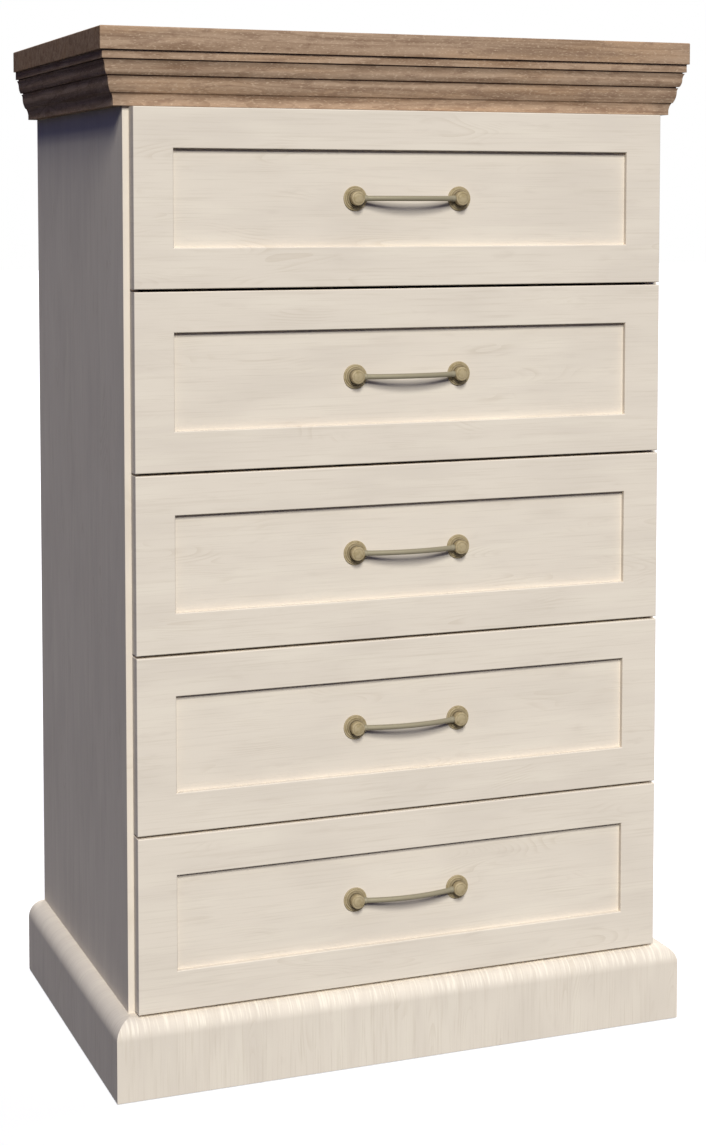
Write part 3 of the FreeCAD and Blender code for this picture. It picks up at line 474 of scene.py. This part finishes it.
@dataclass(frozen=True)
class ZincPlate(Finish):
    """Rolled sheet or wire, zinc plated: bluish bright, faintly drawn along its length.

    The lines of the rolling are drawn wider than they are, so that they show.
    """

    base: str = "#B4B8BB"

    def recipe(self, tree: bpy.types.NodeTree) -> dict[str, Any]:
        """Draw a cool metal with drawn lines and a mottled plate.

        Args:
            tree: The material's own tree.

        Returns:
            What goes into the shader's sockets.
        """
        draw = Pattern(tree, Grain.ALONG_Y)
        drawn = draw.streaks(length=60, width=0.7)
        plate = draw.streaks(length=14, width=9, detail=4, start=4)
        colour = draw.lay(linear(self.base), "#9DA2A7", plate, 0.42, 0.68, 0.7)
        surface = draw.surface(drawn, (0.3, 0.7), (0.26, 0.40), drawn, depth=0.01)
        return {"Base Color": colour, "Metallic": 1.0, **surface}


@dataclass(frozen=True)
class FineGrained(Finish):
    """A plain material with one fine grain, drawn a little coarser so that it shows."""

    base: str
    dark: str  # the grain's own colour
    grain_size: Pair  # length and width in millimetres
    span: Pair  # where the grain begins to show, and where it shows most
    most: float  # how much it shows there
    roughness: float
    scuffed: float = 0.0  # how much light scuffs show
    relief: float = 0.03  # millimetres

    def recipe(self, tree: bpy.types.NodeTree) -> dict[str, Any]:
        """Draw the grain, and scuffs if there are any, on the base.

        Args:
            tree: The material's own tree.

        Returns:
            What goes into the shader's sockets.
        """
        draw = Pattern(tree)
        grain = draw.streaks(*self.grain_size)
        colour = draw.lay(linear(self.base), self.dark, grain, *self.span, self.most)
        if self.scuffed:
            scuffs = draw.streaks(length=60, width=40, detail=4, start=5)
            colour = draw.lay(colour, "#C9C4BA", scuffs, 0.62, 0.80, self.scuffed)
        inputs = {"Height": grain, "Distance": self.relief * MM}
        normal = add_node(tree, "ShaderNodeBump", inputs).outputs["Normal"]
        return {"Base Color": colour, "Roughness": self.roughness, "Normal": normal}


LINEN_FOIL = FineGrained(  # matt and off-white, with the faint print of a linen
    "drawer_box_foil", "#DEDAD2", "#D2CDC3", (24, 1.2), (0.45, 0.75), 1.0, 0.55, scuffed=0.5
)
BEECH = FineGrained(  # raw, pinkish straw with short dark flecks
    "dowel_beech", "#C9A57C", "#A67F57", (5, 0.6), (0.55, 0.75), 0.7, 0.6
)
POLYETHYLENE = FineGrained(  # moulded, dark brown and waxy
    "glide_plastic", "#3B342E", "#2F2924", (0.8, 0.8), (0.4, 0.7), 1.0, 0.42
)


Coats = tuple[tuple[Finish, tuple[str, ...]], ...]


# ---- Meshes


def new_object(name: str, data: bpy.types.ID) -> bpy.types.Object:
    """Put an object into the scene.

    Args:
        name: The object's name.
        data: Its mesh, lamp or camera.

    Returns:
        The new object.
    """
    item = bpy.data.objects.new(name, data)
    bpy.context.scene.collection.objects.link(item)
    return item


def arc(centre: Pair, radius: float, start: float, end: float, steps: int) -> list[Pair]:
    """Place points along an arc.

    Args:
        centre: The arc's centre.
        radius: Its radius.
        start: The angle of the first point, in degrees.
        end: The angle of the last point, in degrees.
        steps: How many chords the arc has.

    Returns:
        The points, from the first to the last.
    """
    angles = (math.radians(start + (end - start) * step / steps) for step in range(steps + 1))
    return [
        (centre[0] + radius * math.cos(angle), centre[1] + radius * math.sin(angle))
        for angle in angles
    ]


def turned(
    name: str, outline: Sequence[Pair], sides: int, patina: Sequence[float] = ()
) -> bpy.types.Mesh:
    """Turn a half outline round +Z, closed at both poles.

    Args:
        name: The mesh's name.
        outline: (radius, height) in millimetres, from the lower pole to the upper one.
        sides: Faces round the axis.
        patina: How dark each point of the outline is, from 0 to 1: patina, deepened as painted
            shade under the post.

    Returns:
        The turned mesh in metres, with its creases marked sharp.
    """
    shape = bmesh.new()
    layer = shape.verts.layers.float.new("patina")
    rows = []
    for index, (radius, height) in enumerate(outline):
        around = sides if radius else 1
        row = []
        for side in range(around):
            angle = 2 * math.pi * side / sides
            spot = (radius * math.cos(angle) * MM, radius * math.sin(angle) * MM, height * MM)
            vertex = shape.verts.new(spot)
            vertex[layer] = patina[index] if patina else 0.0
            row.append(vertex)
        rows.append(row)
    for below, above in zip(rows, rows[1:]):
        for side in range(sides):
            after = (side + 1) % sides
            corners = [below[side % len(below)], below[after % len(below)]]
            corners += [above[after % len(above)], above[side % len(above)]]
            shape.faces.new(list(dict.fromkeys(corners)))  # a pole's corner counts once
    bmesh.ops.recalc_face_normals(shape, faces=shape.faces)
    for edge in shape.edges:
        edge.smooth = edge.calc_face_angle(0.0) < CREASE
    for face in shape.faces:
        face.smooth = True
    mesh = bpy.data.meshes.new(name)
    shape.to_mesh(mesh)
    shape.free()
    return mesh


def new_tree(name: str, inputs: dict[str, str]) -> tuple[bpy.types.NodeTree, bpy.types.Node]:
    """Start a geometry tree.

    Args:
        name: The tree's name.
        inputs: The kind of each named input.

    Returns:
        The tree and its group input.
    """
    tree = bpy.data.node_groups.new(name, "GeometryNodeTree")
    tree.interface.new_socket("Geometry", in_out="INPUT", socket_type="NodeSocketGeometry")
    for label, kind in inputs.items():
        tree.interface.new_socket(label, in_out="INPUT", socket_type=f"NodeSocket{kind}")
    tree.interface.new_socket("Geometry", in_out="OUTPUT", socket_type="NodeSocketGeometry")
    return tree, add_node(tree, "NodeGroupInput")


def end_tree(tree: bpy.types.NodeTree, geometry: Socket, material: Socket) -> None:
    """End a geometry tree with plain, finished geometry.

    Args:
        tree: The tree.
        geometry: What it has made.
        material: The material that this gets.
    """
    real = add_node(tree, "GeometryNodeRealizeInstances", {"Geometry": geometry})
    inputs = {"Geometry": real.outputs[0], "Material": material}
    dressed = add_node(tree, "GeometryNodeSetMaterial", inputs)
    add_node(tree, "NodeGroupOutput", {"Geometry": dressed.outputs[0]})


def grow(
    name: str, tree: bpy.types.NodeTree, values: dict[str, Any], mesh: bpy.types.Mesh | None = None
) -> bpy.types.Object:
    """Run a geometry tree once and keep its result as a plain mesh.

    Args:
        name: The new object's name.
        tree: The geometry tree.
        values: What goes into its named inputs.
        mesh: The mesh that the tree starts from, if it needs one.

    Returns:
        The object with the finished mesh.
    """
    item = new_object(name, mesh or bpy.data.meshes.new(name))
    modifier = item.modifiers.new("grow", "NODES")
    modifier.node_group = tree
    for socket in tree.interface.items_tree:
        if socket.in_out == "INPUT" and socket.name in values:
            modifier[socket.identifier] = values[socket.name]
    graph = bpy.context.evaluated_depsgraph_get()
    result = bpy.data.meshes.new_from_object(item.evaluated_get(graph), depsgraph=graph)
    item.modifiers.clear()
    item.data = result
    return item


# ---- Sub-assemblies


@dataclass(frozen=True)
class BowHandle:
    """A bow handle with two round posts on rosettes, in millimetres.

    Heights are measured out from the sunk panel of the drawer's front.
    """

    centres: float = 128.0  # from post to post
    rosette: float = 28.0
    neck: float = 13.6
    post: float = 16.0
    post_start: float = 4.6
    post_top: float = 12.0
    dome: float = 0.6
    seat: float = 4.6  # the bar's height at its ends
    rise: float = 11.7  # how much higher it is in the middle
    bar: float = 6.0
    collar: float = 7.2
    collar_length: float = 5.0
    steps_along: int = 261
    steps_round: int = 24
    post_sides: int = 56

    def outline(self) -> tuple[list[Pair], list[float]]:
        """Draw the half outline of rosette and post.

        Returns:
            Its points as (radius, height), and how dark each of them is, from 0 to 1: patina in
            the hollows, deepened under the post as painted shade.
        """
        rim, neck, post, top = self.rosette / 2, self.neck / 2, self.post / 2, self.post_top
        start = self.post_start
        # the second number darkens each part: patina in the hollows, raised at the neck and the
        # post's lower edge as painted shade for the post's shadow
        parts = [
            ([(0.0, 0.0)], 0.4),  # the foot
            (arc((rim - 0.3, 0.3), 0.3, -90, 0, 3), 0.4),
            (arc((rim - 0.5, 1.0), 0.5, 0, 90, 4), 0.0),  # the rim
            ([(rim - 1.5, 1.55)], 0.0),
            ([(rim - 1.7, 1.4)], 0.5),  # the groove inside it
            (arc((rim - 2.9, 1.4), 1.1, 10, 120, 8), 0.1),  # the wide ring
            ([(rim - 4.1, 2.35)], 0.6),
            (arc((rim - 4.9, 2.5), 0.8, 10, 90, 6), 0.3),  # the narrow ring
            ([(post - 0.2, 3.38)], 0.7),
            ([(neck, 3.4), (neck, start)], 1.0),
            ([(post - 0.4, start)], 0.8),  # the post's lower edge
            (arc((post - 0.4, start + 0.4), 0.4, -90, 0, 3), 0.2),
            (arc((post - 1.4, top - 1.4), 1.4, 0, 85, 8), 0.0),  # its rounded shoulder
            (arc((post - 2.3, top + 0.14), 0.25, 200, 340, 4)[::-1], 0.15),  # a scored line
            ([(post - 2.9, top + 0.22), (3.4, top + 0.48), (1.7, top + 0.57)], 0.0),
            ([(0.0, top + self.dome)], 0.0),
        ]
        outline = [spot for spots, _ in parts for spot in spots]
        patina = [aged for spots, aged in parts for _ in spots]
        return outline, patina

    def tree(self) -> bpy.types.NodeTree:
        """Build the tree that bends the bow and sets a post at each end of it.

        Returns:
            The tree, with a named input for each size.
        """
        sizes = ("Centres", "Seat", "Rise", "Bar radius")
        sizes += ("Collar radius", "Collar start", "Collar length")
        kinds = {"Post": "Object", "Place": "Vector", **dict.fromkeys(sizes, "Float")}
        kinds["Material"] = "Material"
        tree, start = new_tree("bow_handle", kinds)
        values = {name: start.outputs[name] for name in kinds}
        steps = (
            ("half", "Centres", "MULTIPLY", 0.5),
            ("left", "half", "MULTIPLY", -1.0),
            ("seat", "Seat", "MULTIPLY", -1.0),
            ("crest", "seat", "SUBTRACT", "Rise"),
        )
        work_out(tree, values, steps)
        ends, feet = (
            [
                add_node(tree, "ShaderNodeCombineXYZ", {"X": across, "Y": height}).outputs[0]
                for across in (values["left"], values["half"])
            ]
            for height in (values["seat"], 0.0)
        )
        middle = add_node(tree, "ShaderNodeCombineXYZ", {"Y": values["crest"]}).outputs[0]
        inputs = {"Start": ends[0], "Middle": middle, "End": ends[1]}
        inputs["Resolution"] = self.steps_along
        bow = add_node(tree, "GeometryNodeCurveArc", inputs, mode="POINTS").outputs["Curve"]

        values["along"] = add_node(tree, "GeometryNodeSplineParameter").outputs["Length"]
        values["length"] = add_node(tree, "GeometryNodeCurveLength", {0: bow}).outputs[0]
        steps = (
            ("midway", "length", "MULTIPLY", 0.5),
            ("reach", "along", "PINGPONG", "midway"),  # the way from the nearer end
            ("past", "reach", "SUBTRACT", "Collar start"),
            ("share", "past", "DIVIDE", "Collar length"),
            ("offset", "share", "SUBTRACT", 0.5),
            ("across", "offset", "MULTIPLY", 2.0),  # from -1 to 1 over the collar
            ("square", "across", "POWER", 2.0),
            ("fall", "square", "MULTIPLY", -1.0),
            ("height", "fall", "ADD", 1.0),
            ("inside", "height", "MAXIMUM", 0.0),
            ("swell", "inside", "POWER", 0.5),  # half round, and 0 past the collar
            ("extra", "Collar radius", "SUBTRACT", "Bar radius"),
            ("added", "extra", "MULTIPLY", "swell"),
            ("radius", "added", "ADD", "Bar radius"),
        )
        work_out(tree, values, steps)
        inputs = {"Resolution": self.steps_round, "Radius": 1.0}
        ring = add_node(tree, "GeometryNodeCurvePrimitiveCircle", inputs).outputs["Curve"]
        inputs = {"Curve": bow, "Profile Curve": ring, "Scale": values["radius"]}
        inputs["Fill Caps"] = True
        bar = add_node(tree, "GeometryNodeCurveToMesh", inputs).outputs[0]
        # marks the bar, which is drawn greyer than the posts
        inputs = {"Geometry": bar, "Name": "rubbed", "Value": 1.0}
        bar = add_node(tree, "GeometryNodeStoreNamedAttribute", inputs).outputs[0]
        smooth = add_node(tree, "GeometryNodeSetShadeSmooth", {0: bar}).outputs[0]

        inputs = {"Count": 2, "Start Location": feet[0], "Offset": feet[1]}
        places = add_node(tree, "GeometryNodeMeshLine", inputs, mode="END_POINTS").outputs[0]
        post = add_node(tree, "GeometryNodeObjectInfo", {"Object": values["Post"]})
        inputs = {"Points": places, "Instance": post.outputs["Geometry"]}
        posts = add_node(tree, "GeometryNodeInstanceOnPoints", inputs).outputs[0]
        joined = add_node(tree, "GeometryNodeJoinGeometry", {0: smooth})
        tree.links.new(posts, joined.inputs[0])
        inputs = {"Geometry": joined.outputs[0], "Translation": values["Place"]}
        moved = add_node(tree, "GeometryNodeTransform", inputs).outputs[0]
        end_tree(tree, moved, values["Material"])
        return tree

    def dress(self, material: bpy.types.Material) -> None:
        """Put a handle on every drawer in place of the plain one.

        Args:
            material: The handles' finish.
        """
        outline, patina = self.outline()
        mesh = turned("post", outline, self.post_sides, patina)
        mesh.transform(UPRIGHT)
        post = new_object("post", mesh)
        tree = self.tree()
        for number in DRAWERS:
            node = f"drawer_{number}_handle"
            low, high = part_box(node)
            values = {
                "Post": post,
                "Place": (0.0, high[1], (low[2] + high[2]) / 2),
                "Centres": self.centres * MM,
                "Seat": self.seat * MM,
                "Rise": self.rise * MM,
                "Bar radius": self.bar / 2 * MM,
                "Collar radius": self.collar / 2 * MM,
                "Collar start": self.post / 2 * MM,
                "Collar length": self.collar_length * MM,
                "Material": material,
            }
            piece = grow(f"bow_handle_{number}", tree, values)
            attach(piece, f"drawer_{number}")
            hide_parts(node)
            LOG.info("%s: %d faces", piece.name, len(piece.data.polygons))
        bpy.data.objects.remove(post)


@dataclass(frozen=True)
class CrossHeadScrew:
    """A pan-head screw with a cross recess, in millimetres."""

    name: str
    head: float
    head_height: float
    shank: float
    length: float
    point: float = 1.5  # how long its tapered end is
    tip: float = 0.4  # how wide that ends, as a share of the shank
    edge: float = 0.35  # how much of the head's height is upright
    fullness: float = 0.6  # below 1, the head is fuller than an ellipse
    arm: float = 0.27  # how far the recess reaches, as a share of the head
    arm_width: float = 0.075  # half its width, as a share of the head
    steps: int = 6  # over the head's dome
    sides: int = 28

    def mesh(self) -> bpy.types.Mesh:
        """Build the screw along +Z, with the underside of its head at the origin.

        Returns:
            The finished mesh.
        """
        rim, neck = self.head / 2, self.shank / 2
        outline = [(0.0, -self.length), (neck * self.tip, -self.length)]
        outline += [(neck, self.point - self.length), (neck, 0.0)]
        outline += [(rim, 0.0), (rim, self.head_height * self.edge)]
        for step in range(1, self.steps):
            angle = math.pi / 2 * step / self.steps
            rise = self.head_height * (self.edge + (1 - self.edge) * math.sin(angle))
            outline.append((rim * math.cos(angle) ** self.fullness, rise))
        outline.append((0.0, self.head_height))
        blank = new_object("blank", turned(self.name, outline, self.sides))
        cross = new_object("cross", self.recess())
        cut = blank.modifiers.new("recess", "BOOLEAN")
        cut.object = cross
        cut.operation = "DIFFERENCE"
        cut.solver = "EXACT"
        graph = bpy.context.evaluated_depsgraph_get()
        result = bpy.data.meshes.new_from_object(blank.evaluated_get(graph), depsgraph=graph)
        for item in (blank, cross):
            bpy.data.objects.remove(item)
        return result

    def recess(self) -> bpy.types.Mesh:
        """Build the cross that the recess is cut with, tapering downwards.

        Returns:
            A closed mesh that stands out of the head.
        """
        wide, narrow = self.head * self.arm, self.head * self.arm_width
        floor = (self.head_height * 0.25, 0.45)  # its height, and the cross's size there
        mouth = (self.head_height + 0.5, 1.15)
        shape = bmesh.new()
        rows = []
        for height, scale in (floor, mouth):
            across, along = narrow * scale**0.5, wide * scale
            quarter = [(along, -across), (along, across), (across, across)]
            spots = []
            for turn in range(4):
                spin = Matrix.Rotation(math.pi / 2 * turn, 3, "Z")
                spots += [spin @ Vector((x, y, 0)) for x, y in quarter]
            rows.append([shape.verts.new((s + Vector((0, 0, height))) * MM) for s in spots])
        below, above = rows
        shape.faces.new(below[::-1])
        shape.faces.new(above)
        for index in range(len(below)):
            after = (index + 1) % len(below)
            shape.faces.new((below[index], below[after], above[after], above[index]))
        bmesh.ops.recalc_face_normals(shape, faces=shape.faces)
        mesh = bpy.data.meshes.new("cross")
        shape.to_mesh(mesh)
        shape.free()
        return mesh


@dataclass(frozen=True)
class ScrewPlaces:
    """Sets screws where the fittings have their holes, in millimetres."""

    wood: CrossHeadScrew = CrossHeadScrew("wood_screw", 7.0, 1.6, 3.5, 10.0)
    bolt: CrossHeadScrew = CrossHeadScrew("bolt", 8.0, 2.2, 4.0, 20.0)
    handle_x: float = 64.0  # how far from the middle a handle's bolt is
    inset: float = 37.0  # how far from its runner's end a screw is
    gauge: float = 1.2  # thickness of a runner's sheet

    def tree(self) -> bpy.types.NodeTree:
        """Build the tree that puts a screw on every point, turned the way it faces.

        Returns:
            The tree, with inputs for the screw and its material.
        """
        tree, start = new_tree("screws_on_points", {"Screw": "Object", "Material": "Material"})
        facing = add_node(
            tree, "GeometryNodeInputNamedAttribute", {"Name": "facing"}, data_type="FLOAT_VECTOR"
        )
        inputs = {"Vector": facing.outputs["Attribute"]}
        turn = add_node(tree, "FunctionNodeAlignRotationToVector", inputs, axis="Z")
        screw = add_node(tree, "GeometryNodeObjectInfo", {"Object": start.outputs["Screw"]})
        inputs = {
            "Points": start.outputs["Geometry"],
            "Instance": screw.outputs["Geometry"],
            "Rotation": turn.outputs[0],
        }
        placed = add_node(tree, "GeometryNodeInstanceOnPoints", inputs).outputs[0]
        end_tree(tree, placed, start.outputs["Material"])
        return tree

    def points(self, name: str, spots: Sequence[Spot]) -> bpy.types.Mesh:
        """Make loose points for screws to stand on.

        Args:
            name: The mesh's name.
            spots: Where each screw is, and the way it faces.

        Returns:
            A mesh of points that keep the way as an attribute.
        """
        mesh = bpy.data.meshes.new(name)
        mesh.from_pydata([place * MM for place, _ in spots], [], [])
        facing = mesh.attributes.new("facing", "FLOAT_VECTOR", "POINT")
        for index, (_, way) in enumerate(spots):
            facing.data[index].vector = way
        return mesh

    def runner_spots(self, runners: str, web_x: float, outward: int) -> list[Spot]:
        """Find the screws of a pair of runners.

        Args:
            runners: The piece that the screws hold.
            web_x: How far from the middle the underside of a head lies.
            outward: 1 if the heads look outwards, -1 if inwards.

        Returns:
            Four spots.
        """
        low, high = (Vector(corner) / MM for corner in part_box(runners))
        return [
            (Vector((hand * web_x, across, (low.z + high.z) / 2)), Vector((hand * outward, 0, 0)))
            for hand in (-1, 1)
            for across in (low.y + self.inset, high.y - self.inset)
        ]

    def bolt_spots(self, number: int) -> list[Spot]:
        """Find the bolts of a handle, behind its drawer's front.

        Args:
            number: The drawer's number.

        Returns:
            Two spots.
        """
        low, high = (Vector(corner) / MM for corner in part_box(f"drawer_{number}_handle"))
        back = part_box(f"drawer_{number}_front")[1][1] / MM
        return [
            (Vector((hand * self.handle_x, back, (low.z + high.z) / 2)), Vector((0, 1, 0)))
            for hand in (-1, 1)
        ]

    def dress(self, material: bpy.types.Material) -> None:
        """Put cross-head screws into every drawer and every cabinet runner.

        Args:
            material: The screws' finish.
        """
        screws = [new_object(mesh.name, mesh) for mesh in (self.wood.mesh(), self.bolt.mesh())]
        tree = self.tree()
        jobs = []
        cabinet = []
        for number in DRAWERS:
            node, runners = f"drawer_{number}_screws", f"drawer_{number}_runners"
            heads_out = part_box(node)[1][0] / MM - self.wood.head_height
            heads_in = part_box("cabinet_runners")[1][0] / MM - self.gauge
            spots = self.runner_spots(runners, heads_out, 1)
            ride = f"drawer_{number}"
            jobs.append((f"runner_screws_{number}", screws[0], spots, ride, node))
            jobs.append((f"handle_bolts_{number}", screws[1], self.bolt_spots(number), ride, node))
            cabinet += self.runner_spots(runners, heads_in, -1)
        node = "cabinet_runner_screws"
        jobs.append(("cabinet_screws", screws[0], cabinet, "carcass", node))
        for name, screw, spots, ride, node in jobs:
            values = {"Screw": screw, "Material": material}
            piece = grow(name, tree, values, self.points(name, spots))
            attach(piece, ride)
            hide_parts(node)
            LOG.info("%s: %d screws", name, len(spots))
        for screw in screws:
            bpy.data.objects.remove(screw)


def in_drawers(*parts: str) -> tuple[str, ...]:
    """Return the names of the pieces that every drawer has."""
    return tuple(f"drawer_{number}_{part}" for number in DRAWERS for part in parts)


@dataclass(frozen=True)
class SubAssembly:
    """A part of the chest whose pieces keep their own shape and get a finish."""

    coats: Coats = ()  # each finish with the names of its pieces

    def dress(self) -> None:
        """Give every piece its finish."""
        for finish, nodes in self.coats:
            material = finish.build()
            for node in nodes:
                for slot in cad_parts[node].material_slots:
                    slot.material = material
                LOG.info("%s: %s in %s", type(self).__name__, node, finish.name)


@dataclass(frozen=True)
class Case(SubAssembly):
    """The side panels, the boards between them, the back and what joins them."""

    coats: Coats = (
        (
            WashedPineLaminate("upright_pine", Grain.UP_THE_SIDE),
            ("left_side_panel", "right_side_panel"),
        ),
        (WashedPineLaminate("level_pine", Grain.FLAT), ("bottom_panel", "inner_top_panel")),
        (WashedPineLaminate("rail_pine", Grain.ALONG_X), ("top_front_rail", "back_base_rail")),
        (Hardboard("back_hardboard", raw_side=(0.0, 1.0, 0.0)), ("back_panel",)),
        (ZincPlate("cam_zinc", "#A6A9AB"), ("cam_fittings",)),
        (BEECH, ("dowels",)),
    )


@dataclass(frozen=True)
class Crown(SubAssembly):
    """The thick top board and the cornice under it."""

    coats: Coats = (
        (BrownOakLaminate("top_oak", Grain.ALONG_X, end_grain_and_shade=True), ("top_board",)),
        (BrownOakLaminate("cornice_oak", Grain.ALONG_X), ("cornice_front",)),
        (BrownOakLaminate("cornice_side_oak", Grain.ALONG_Y), ("cornice_left", "cornice_right")),
    )


@dataclass(frozen=True)
class Plinth(SubAssembly):
    """The rounded plinth, the board behind it and the glides it hides."""

    coats: Coats = (
        (
            WashedPineLaminate(
                "plinth_pine", Grain.UP_THE_FRONT, brushed=0.4, top_highlight=0.6, relief=0.12
            ),
            ("plinth_front",),
        ),
        (
            WashedPineLaminate(
                "plinth_side_pine", Grain.UP_THE_SIDE, brushed=0.4, top_highlight=0.15, relief=0.12
            ),
            ("plinth_left", "plinth_right"),
        ),
        (WashedPineLaminate("backing_pine", Grain.ALONG_X), ("plinth_backing_board",)),
        (POLYETHYLENE, ("floor_glides",)),
    )


@dataclass(frozen=True)
class DrawerBoxes(SubAssembly):
    """The five fronts and the boxes behind them."""

    coats: Coats = (
        (WashedPineLaminate("drawer_front_pine", Grain.ALONG_X), in_drawers("front")),
        (LINEN_FOIL, in_drawers("sides", "back")),
        (Hardboard("drawer_bottom_hardboard", raw_side=(0.0, 0.0, -1.0)), in_drawers("bottom")),
    )


@dataclass(frozen=True)
class Runners(SubAssembly):
    """The telescopic runners: fixed, middle and drawer members."""

    coats: Coats = (
        (ZincPlate("runner_zinc"), ("cabinet_runners", *in_drawers("runners", "middle_runners"))),
    )


# ---- Studio


@dataclass(frozen=True)
class Lamp:
    """A large soft lamp far away."""

    name: str
    azimuth: float  # degrees to the right of the chest's front, seen from the front
    elevation: float  # degrees above the floor
    strength: float  # how bright a white face square to it becomes
    spread: float  # the lamp's width as an angle, in degrees
    colour: str

    def light(self) -> None:
        """Hang the lamp."""
        lamp = bpy.data.lights.new(self.name, "SUN")
        lamp.energy = self.strength * math.pi
        lamp.angle = math.radians(self.spread)
        lamp.color = linear(self.colour)[:3]
        item = new_object(self.name, lamp)
        turn, rise = math.radians(self.azimuth), math.radians(self.elevation)
        towards = Vector((math.sin(turn), -math.cos(turn), math.tan(rise)))
        item.rotation_euler = towards.to_track_quat("Z", "Y").to_euler()
        item.location = towards.normalized() * LAMP_DISTANCE


@dataclass(frozen=True)
class Studio:
    """A plain white studio: floor, ambient light, a key, a rear lamp and the camera."""

    floor_reach: float = 30.0  # metres
    floor_pale: str = "#EDEDED"  # as it looks, with a glow that makes it white
    floor_glow: float = 0.35
    floor_dull: str = "#313131"  # as it lights the chest
    ambient: str = "#393D6A"
    lamps: tuple[Lamp, ...] = (
        Lamp("key_low", -12.0, 30.0, 0.545, 12.0, "#FFFEF9"),  # the two make one tall key light
        Lamp("key_high", -12.0, 42.0, 0.626, 12.0, "#FFFEF9"),
        Lamp("rear", 140.0, 38.0, 0.8, 30.0, "#FFFCF8"),
    )
    eye: tuple[float, float, float] = (-0.9271, -2.4437, 0.9894)  # metres
    yaw: float = 21.07  # degrees to the right of straight on
    pitch: float = 3.71  # degrees down
    lens: float = 66.63  # millimetres
    shift: Pair = (-0.001, -0.20)

    def seen(self, tree: bpy.types.NodeTree) -> Socket:
        """Tell what is looked at from what only lights the chest.

        Args:
            tree: The tree of the world or of the floor's material.

        Returns:
            1 for what the camera, a gloss or a clear body sees, and 0 otherwise.
        """
        path = add_node(tree, "ShaderNodeLightPath").outputs
        seen: Socket | float = 0.0
        for ray in ("Camera", "Glossy", "Transmission"):
            inputs = {0: path[f"Is {ray} Ray"], 1: seen}
            seen = add_node(tree, "ShaderNodeMath", inputs, operation="MAXIMUM").outputs[0]
        return seen

    def surround(self) -> None:
        """Make the world: white to look at, and a dim cool light on the chest."""
        world = bpy.data.worlds.new("studio")
        bpy.context.scene.world = world
        world.use_nodes = True
        tree = world.node_tree
        tree.nodes.clear()
        light = add_node(tree, "ShaderNodeBackground", {0: linear(self.ambient)})
        white = add_node(tree, "ShaderNodeBackground", {0: linear("#FFFFFF")})
        inputs = {0: self.seen(tree), 1: light.outputs[0], 2: white.outputs[0]}
        mixed = add_node(tree, "ShaderNodeMixShader", inputs)
        add_node(tree, "ShaderNodeOutputWorld", {"Surface": mixed.outputs[0]})

    def lay_floor(self) -> None:
        """Lay the floor: white to look at with soft shadows, and dull to the chest."""
        reach = self.floor_reach
        corners = [(-reach, -reach, 0), (reach, -reach, 0), (reach, reach, 0), (-reach, reach, 0)]
        mesh = bpy.data.meshes.new("floor")
        mesh.from_pydata(corners, [], [(0, 1, 2, 3)])
        floor = new_object("floor", mesh)
        material = bpy.data.materials.new("studio_floor")
        material.use_nodes = True
        tree = material.node_tree
        tree.nodes.clear()
        dull = add_node(tree, "ShaderNodeBsdfDiffuse", {"Color": linear(self.floor_dull)})
        pale = add_node(tree, "ShaderNodeBsdfDiffuse", {"Color": linear(self.floor_pale)})
        glow = add_node(tree, "ShaderNodeEmission", {"Strength": self.floor_glow})
        lit = add_node(tree, "ShaderNodeAddShader", {0: pale.outputs[0], 1: glow.outputs[0]})
        inputs = {0: self.seen(tree), 1: dull.outputs[0], 2: lit.outputs[0]}
        mixed = add_node(tree, "ShaderNodeMixShader", inputs)
        add_node(tree, "ShaderNodeOutputMaterial", {"Surface": mixed.outputs[0]})
        mesh.materials.append(material)

    def stand_camera(self) -> None:
        """Stand the camera to the left of the chest, just below its top."""
        camera = bpy.data.cameras.new("camera")
        camera.lens = self.lens
        camera.shift_x, camera.shift_y = self.shift
        item = new_object("camera", camera)
        item.location = self.eye
        item.rotation_euler = (math.radians(90 - self.pitch), 0.0, math.radians(-self.yaw))
        bpy.context.scene.camera = item

    def build(self) -> None:
        """Set up the whole studio."""
        bpy.context.scene.view_settings.view_transform = "Standard"
        self.surround()
        self.lay_floor()
        for lamp in self.lamps:
            lamp.light()
        self.stand_camera()
        LOG.info("studio with %d lamps", len(self.lamps))


def main() -> None:
    """Dress the chest and set up the studio."""
    logging.basicConfig(level=logging.INFO, format="%(name)s: %(message)s")
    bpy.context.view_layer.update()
    Studio().build()
    for part in (Case(), Crown(), Plinth(), DrawerBoxes(), Runners()):
        part.dress()
    BowHandle().dress(AgedBrass("handle_brass").build())
    ScrewPlaces().dress(ZincPlate("screw_zinc", "#BFC1C0").build())


if __name__ == "__main__":
    main()
